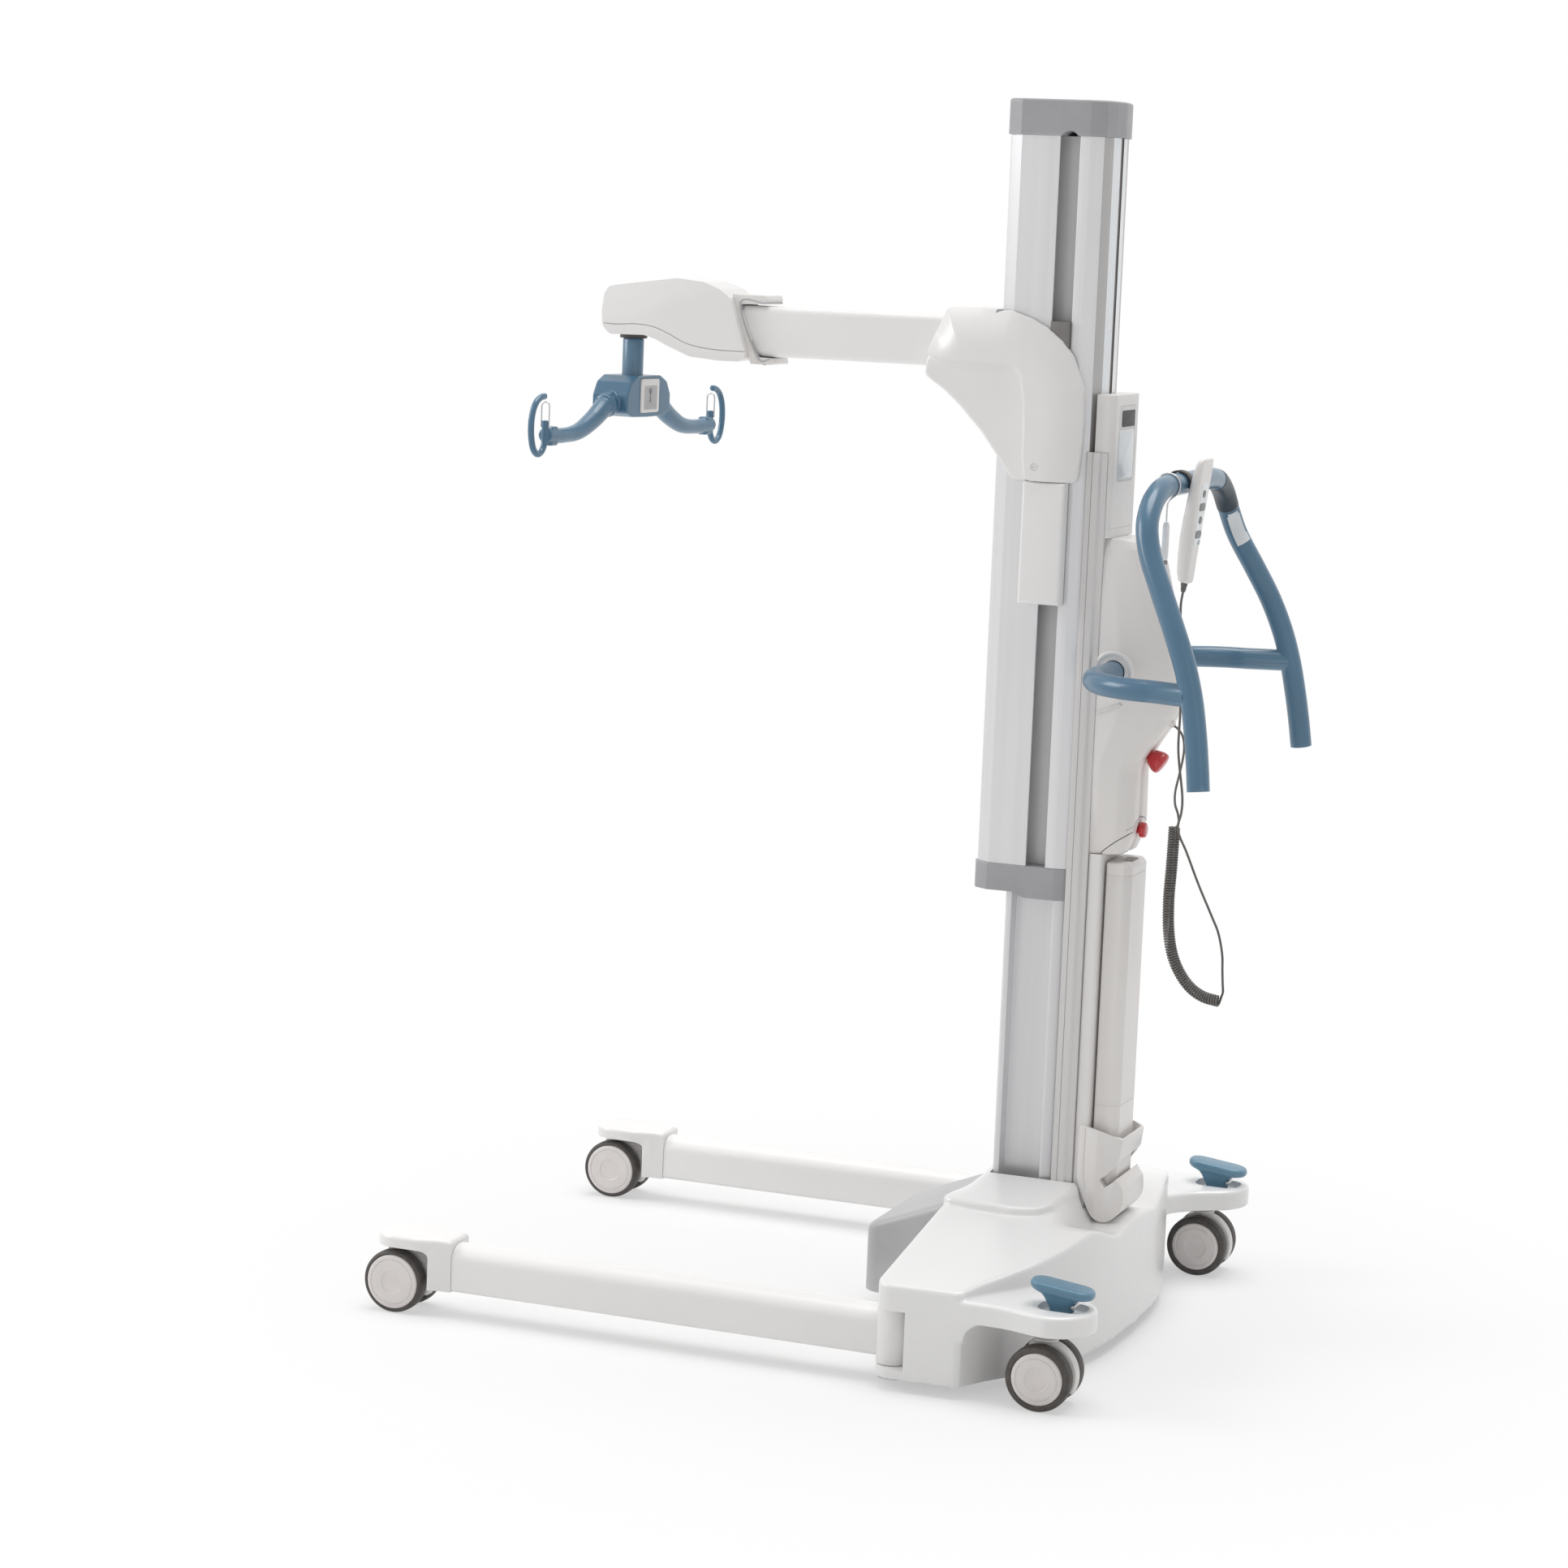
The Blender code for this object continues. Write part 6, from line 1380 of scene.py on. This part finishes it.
def makeHandset(shape):
    place = Matrix.Translation(Vector(shape["place"])) @ Matrix.Rotation(shape["lean"], 4, "X")
    rings = [[Vector((x, y, z)) for x, y in roundedBox(halfX, halfY, halfY * 0.8, (0.0, shape["face"] - halfY), 7)]
             for z, halfX, halfY in shape["rows"]]
    body = bridgeRings(rings)
    meltTogether(body, 0.0009, 6)
    relief = turnProfile(mm((0, -112), (3, -112), (3.5, -111.4), (3.8, -108), (4.4, -108), (4.4, -106), (4.1, -106),
                            (4.5, -102.5), (5.2, -102.5), (5.2, -100.5), (5, -100.5), (6, -90), (0, -90)), 40)
    for joint, node, z, halfX in shape["keys"]:
        well = extrudeOutline(roundedBox(halfX + 0.0004, 0.0059, 0.0046, (0.0, z)), 0.0048, 0.02, "Y")
        cutAway(body, well)
        key = extrudeOutline(roundedBox(halfX, 0.0055, 0.0042, (0.0, z), 8), 0.0063, 0.0112, "Y")
        bevelRim(key, "Y", 0.0012, 4)
        finishPiece(moved(key, place), f"{node}_cap", joint, "keyGrey", node)
    strip = extrudeOutline(roundedBox(0.0172, 0.048, 0.004, (0.0, 0.009)), 0.0088, 0.0098, "Y")
    bevelRim(strip, "Y", 0.0003, 2)
    for joint, node, z, halfX in shape["keys"]:
        cutAway(strip, extrudeOutline(roundedBox(halfX + 0.0004, 0.0059, 0.0046, (0.0, z)), 0.0, 0.02, "Y"))
    finishPiece(moved(strip, place), "handset_key_strip", "base", "label", "handset")
    finishPiece(moved(body, place), "handset_shell", "base", "whitePlastic", "handset", smooth=30)
    finishPiece(moved(relief, place), "handset_relief", "base", "jacket", "handset")
    middle, outer, inner = (0.028, 1.345), 0.0208, 0.0176
    outline = arcPoints(middle, outer, -20, 230, 48) + arcPoints(middle, inner, 230, -20, 48)
    hook = softenEdges(extrudeOutline(outline, 0.045, 0.065, "X"), 0.0007, 3, 40)
    finishPiece(hook, "handset_hook_band", "base", "darkPlastic", "handset_hook")


makeHandset(handsetShape)
print("handset made")


# Steel that is hidden under the covers keeps its CAD shape and gets the same steel

for node in ("chassis", "leg_actuator"):
    mesh = bpy.data.objects[node].data
    mesh.materials.clear()
    mesh.materials.append(finishes["steel"])


# Floor, sky and studio light

lightSetup = {
    "keyFront": ((1.8, -4.5, 3.4), (0.0, 0.0, 0.9), (2.6, 2.6), 105.0),
    "strip": ((3.3, 3.9, 1.9), (0.0, 0.0, 1.0), (0.45, 3.0), 6.0),
    "overhead": ((-0.6, 0.3, 5.0), (0.0, 0.0, 0.0), 44.0, 1.95),
}


def addLamp(name, place, aim, size, power):
    data = bpy.data.lights.new(name, "SUN" if isinstance(size, float) else "AREA")
    if data.type == "SUN":
        data.angle = math.radians(size)
    else:
        data.shape = "RECTANGLE"
        data.size, data.size_y = size
    data.energy = power
    lamp = bpy.data.objects.new(name, data)
    bpy.context.scene.collection.objects.link(lamp)
    lamp.location = place
    lamp.rotation_euler = (Vector(aim) - Vector(place)).to_track_quat("-Z", "Y").to_euler()


def seenDirectly(tree):
    # 1 for what the camera, a mirror or glass looks at
    paths = addNode(tree, "LightPath")
    total = paths.outputs["Is Camera Ray"]
    for ray in ("Is Glossy Ray", "Is Transmission Ray"):
        total = combineNodes(tree, "MAXIMUM", total, paths.outputs[ray])
    return total


def mixShaders(tree, share, first, second, end):
    mix = addNode(tree, "MixShader")
    tree.links.new(share, mix.inputs["Fac"])
    tree.links.new(first, mix.inputs[1])
    tree.links.new(second, mix.inputs[2])
    link(tree, mix, "Shader", tree.nodes[end], "Surface")


def makeFloorFade(tree, place, shader):
    # the floor turns into plain white away from the lift, and keeps its shadow near it
    distance = addNode(tree, "VectorMath")
    distance.operation = "LENGTH"
    tree.links.new(place.outputs["Object"], distance.inputs[0])
    fade = addNode(tree, "MapRange", From_Min=0.4, From_Max=1.5, To_Min=0.42, To_Max=1.0)
    fade.interpolation_type = "SMOOTHSTEP"
    link(tree, distance, "Value", fade, "Value")
    share = combineNodes(tree, "MULTIPLY", fade.outputs["Result"], seenDirectly(tree))
    white = addNode(tree, "Emission", Color=(1, 1, 1, 1), Strength=1.0)
    mixShaders(tree, share, shader.outputs["BSDF"], white.outputs["Emission"], "Material Output")


def makeFloor():
    clearSelection()
    bpy.ops.mesh.primitive_plane_add(size=60, location=(0, 0, 0))
    floor = bpy.context.object
    floor.name = "studio_floor"
    paint = bpy.data.materials.new("studioFloor")
    paint.use_nodes = True
    tree = paint.node_tree
    shader = tree.nodes["Principled BSDF"]
    shader.inputs["Roughness"].default_value = 0.7
    shader.inputs["Specular IOR Level"].default_value = 0.2
    place = addNode(tree, "TexCoord")
    speckle = addNode(tree, "TexNoise", Scale=180.0, Detail=3.0)
    ramp = colourRamp(tree, ((0.8, 0.8, 0.8), (0.84, 0.84, 0.84)))
    link(tree, place, "Object", speckle, "Vector")
    link(tree, speckle, "Fac", ramp, "Fac")
    link(tree, ramp, "Color", shader, "Base Color")
    makeFloorFade(tree, place, shader)
    floor.data.materials.append(paint)


def makeStudio(setup):
    makeFloor()
    for name, facts in setup.items():
        addLamp(name, *facts)
    world = bpy.data.worlds.new("studioSky")
    bpy.context.scene.world = world
    world.use_nodes = True
    tree = world.node_tree
    glow = tree.nodes["Background"]
    glow.inputs["Color"].default_value = (1.0, 0.99, 0.98, 1)
    glow.inputs["Strength"].default_value = 0.36
    seen = addNode(tree, "Background", Color=(1, 1, 1, 1), Strength=1.0)
    mixShaders(tree, seenDirectly(tree), glow.outputs["Background"], seen.outputs["Background"], "World Output")


makeStudio(lightSetup)
bpy.context.scene.view_settings.view_transform = "Standard"
print("studio made")
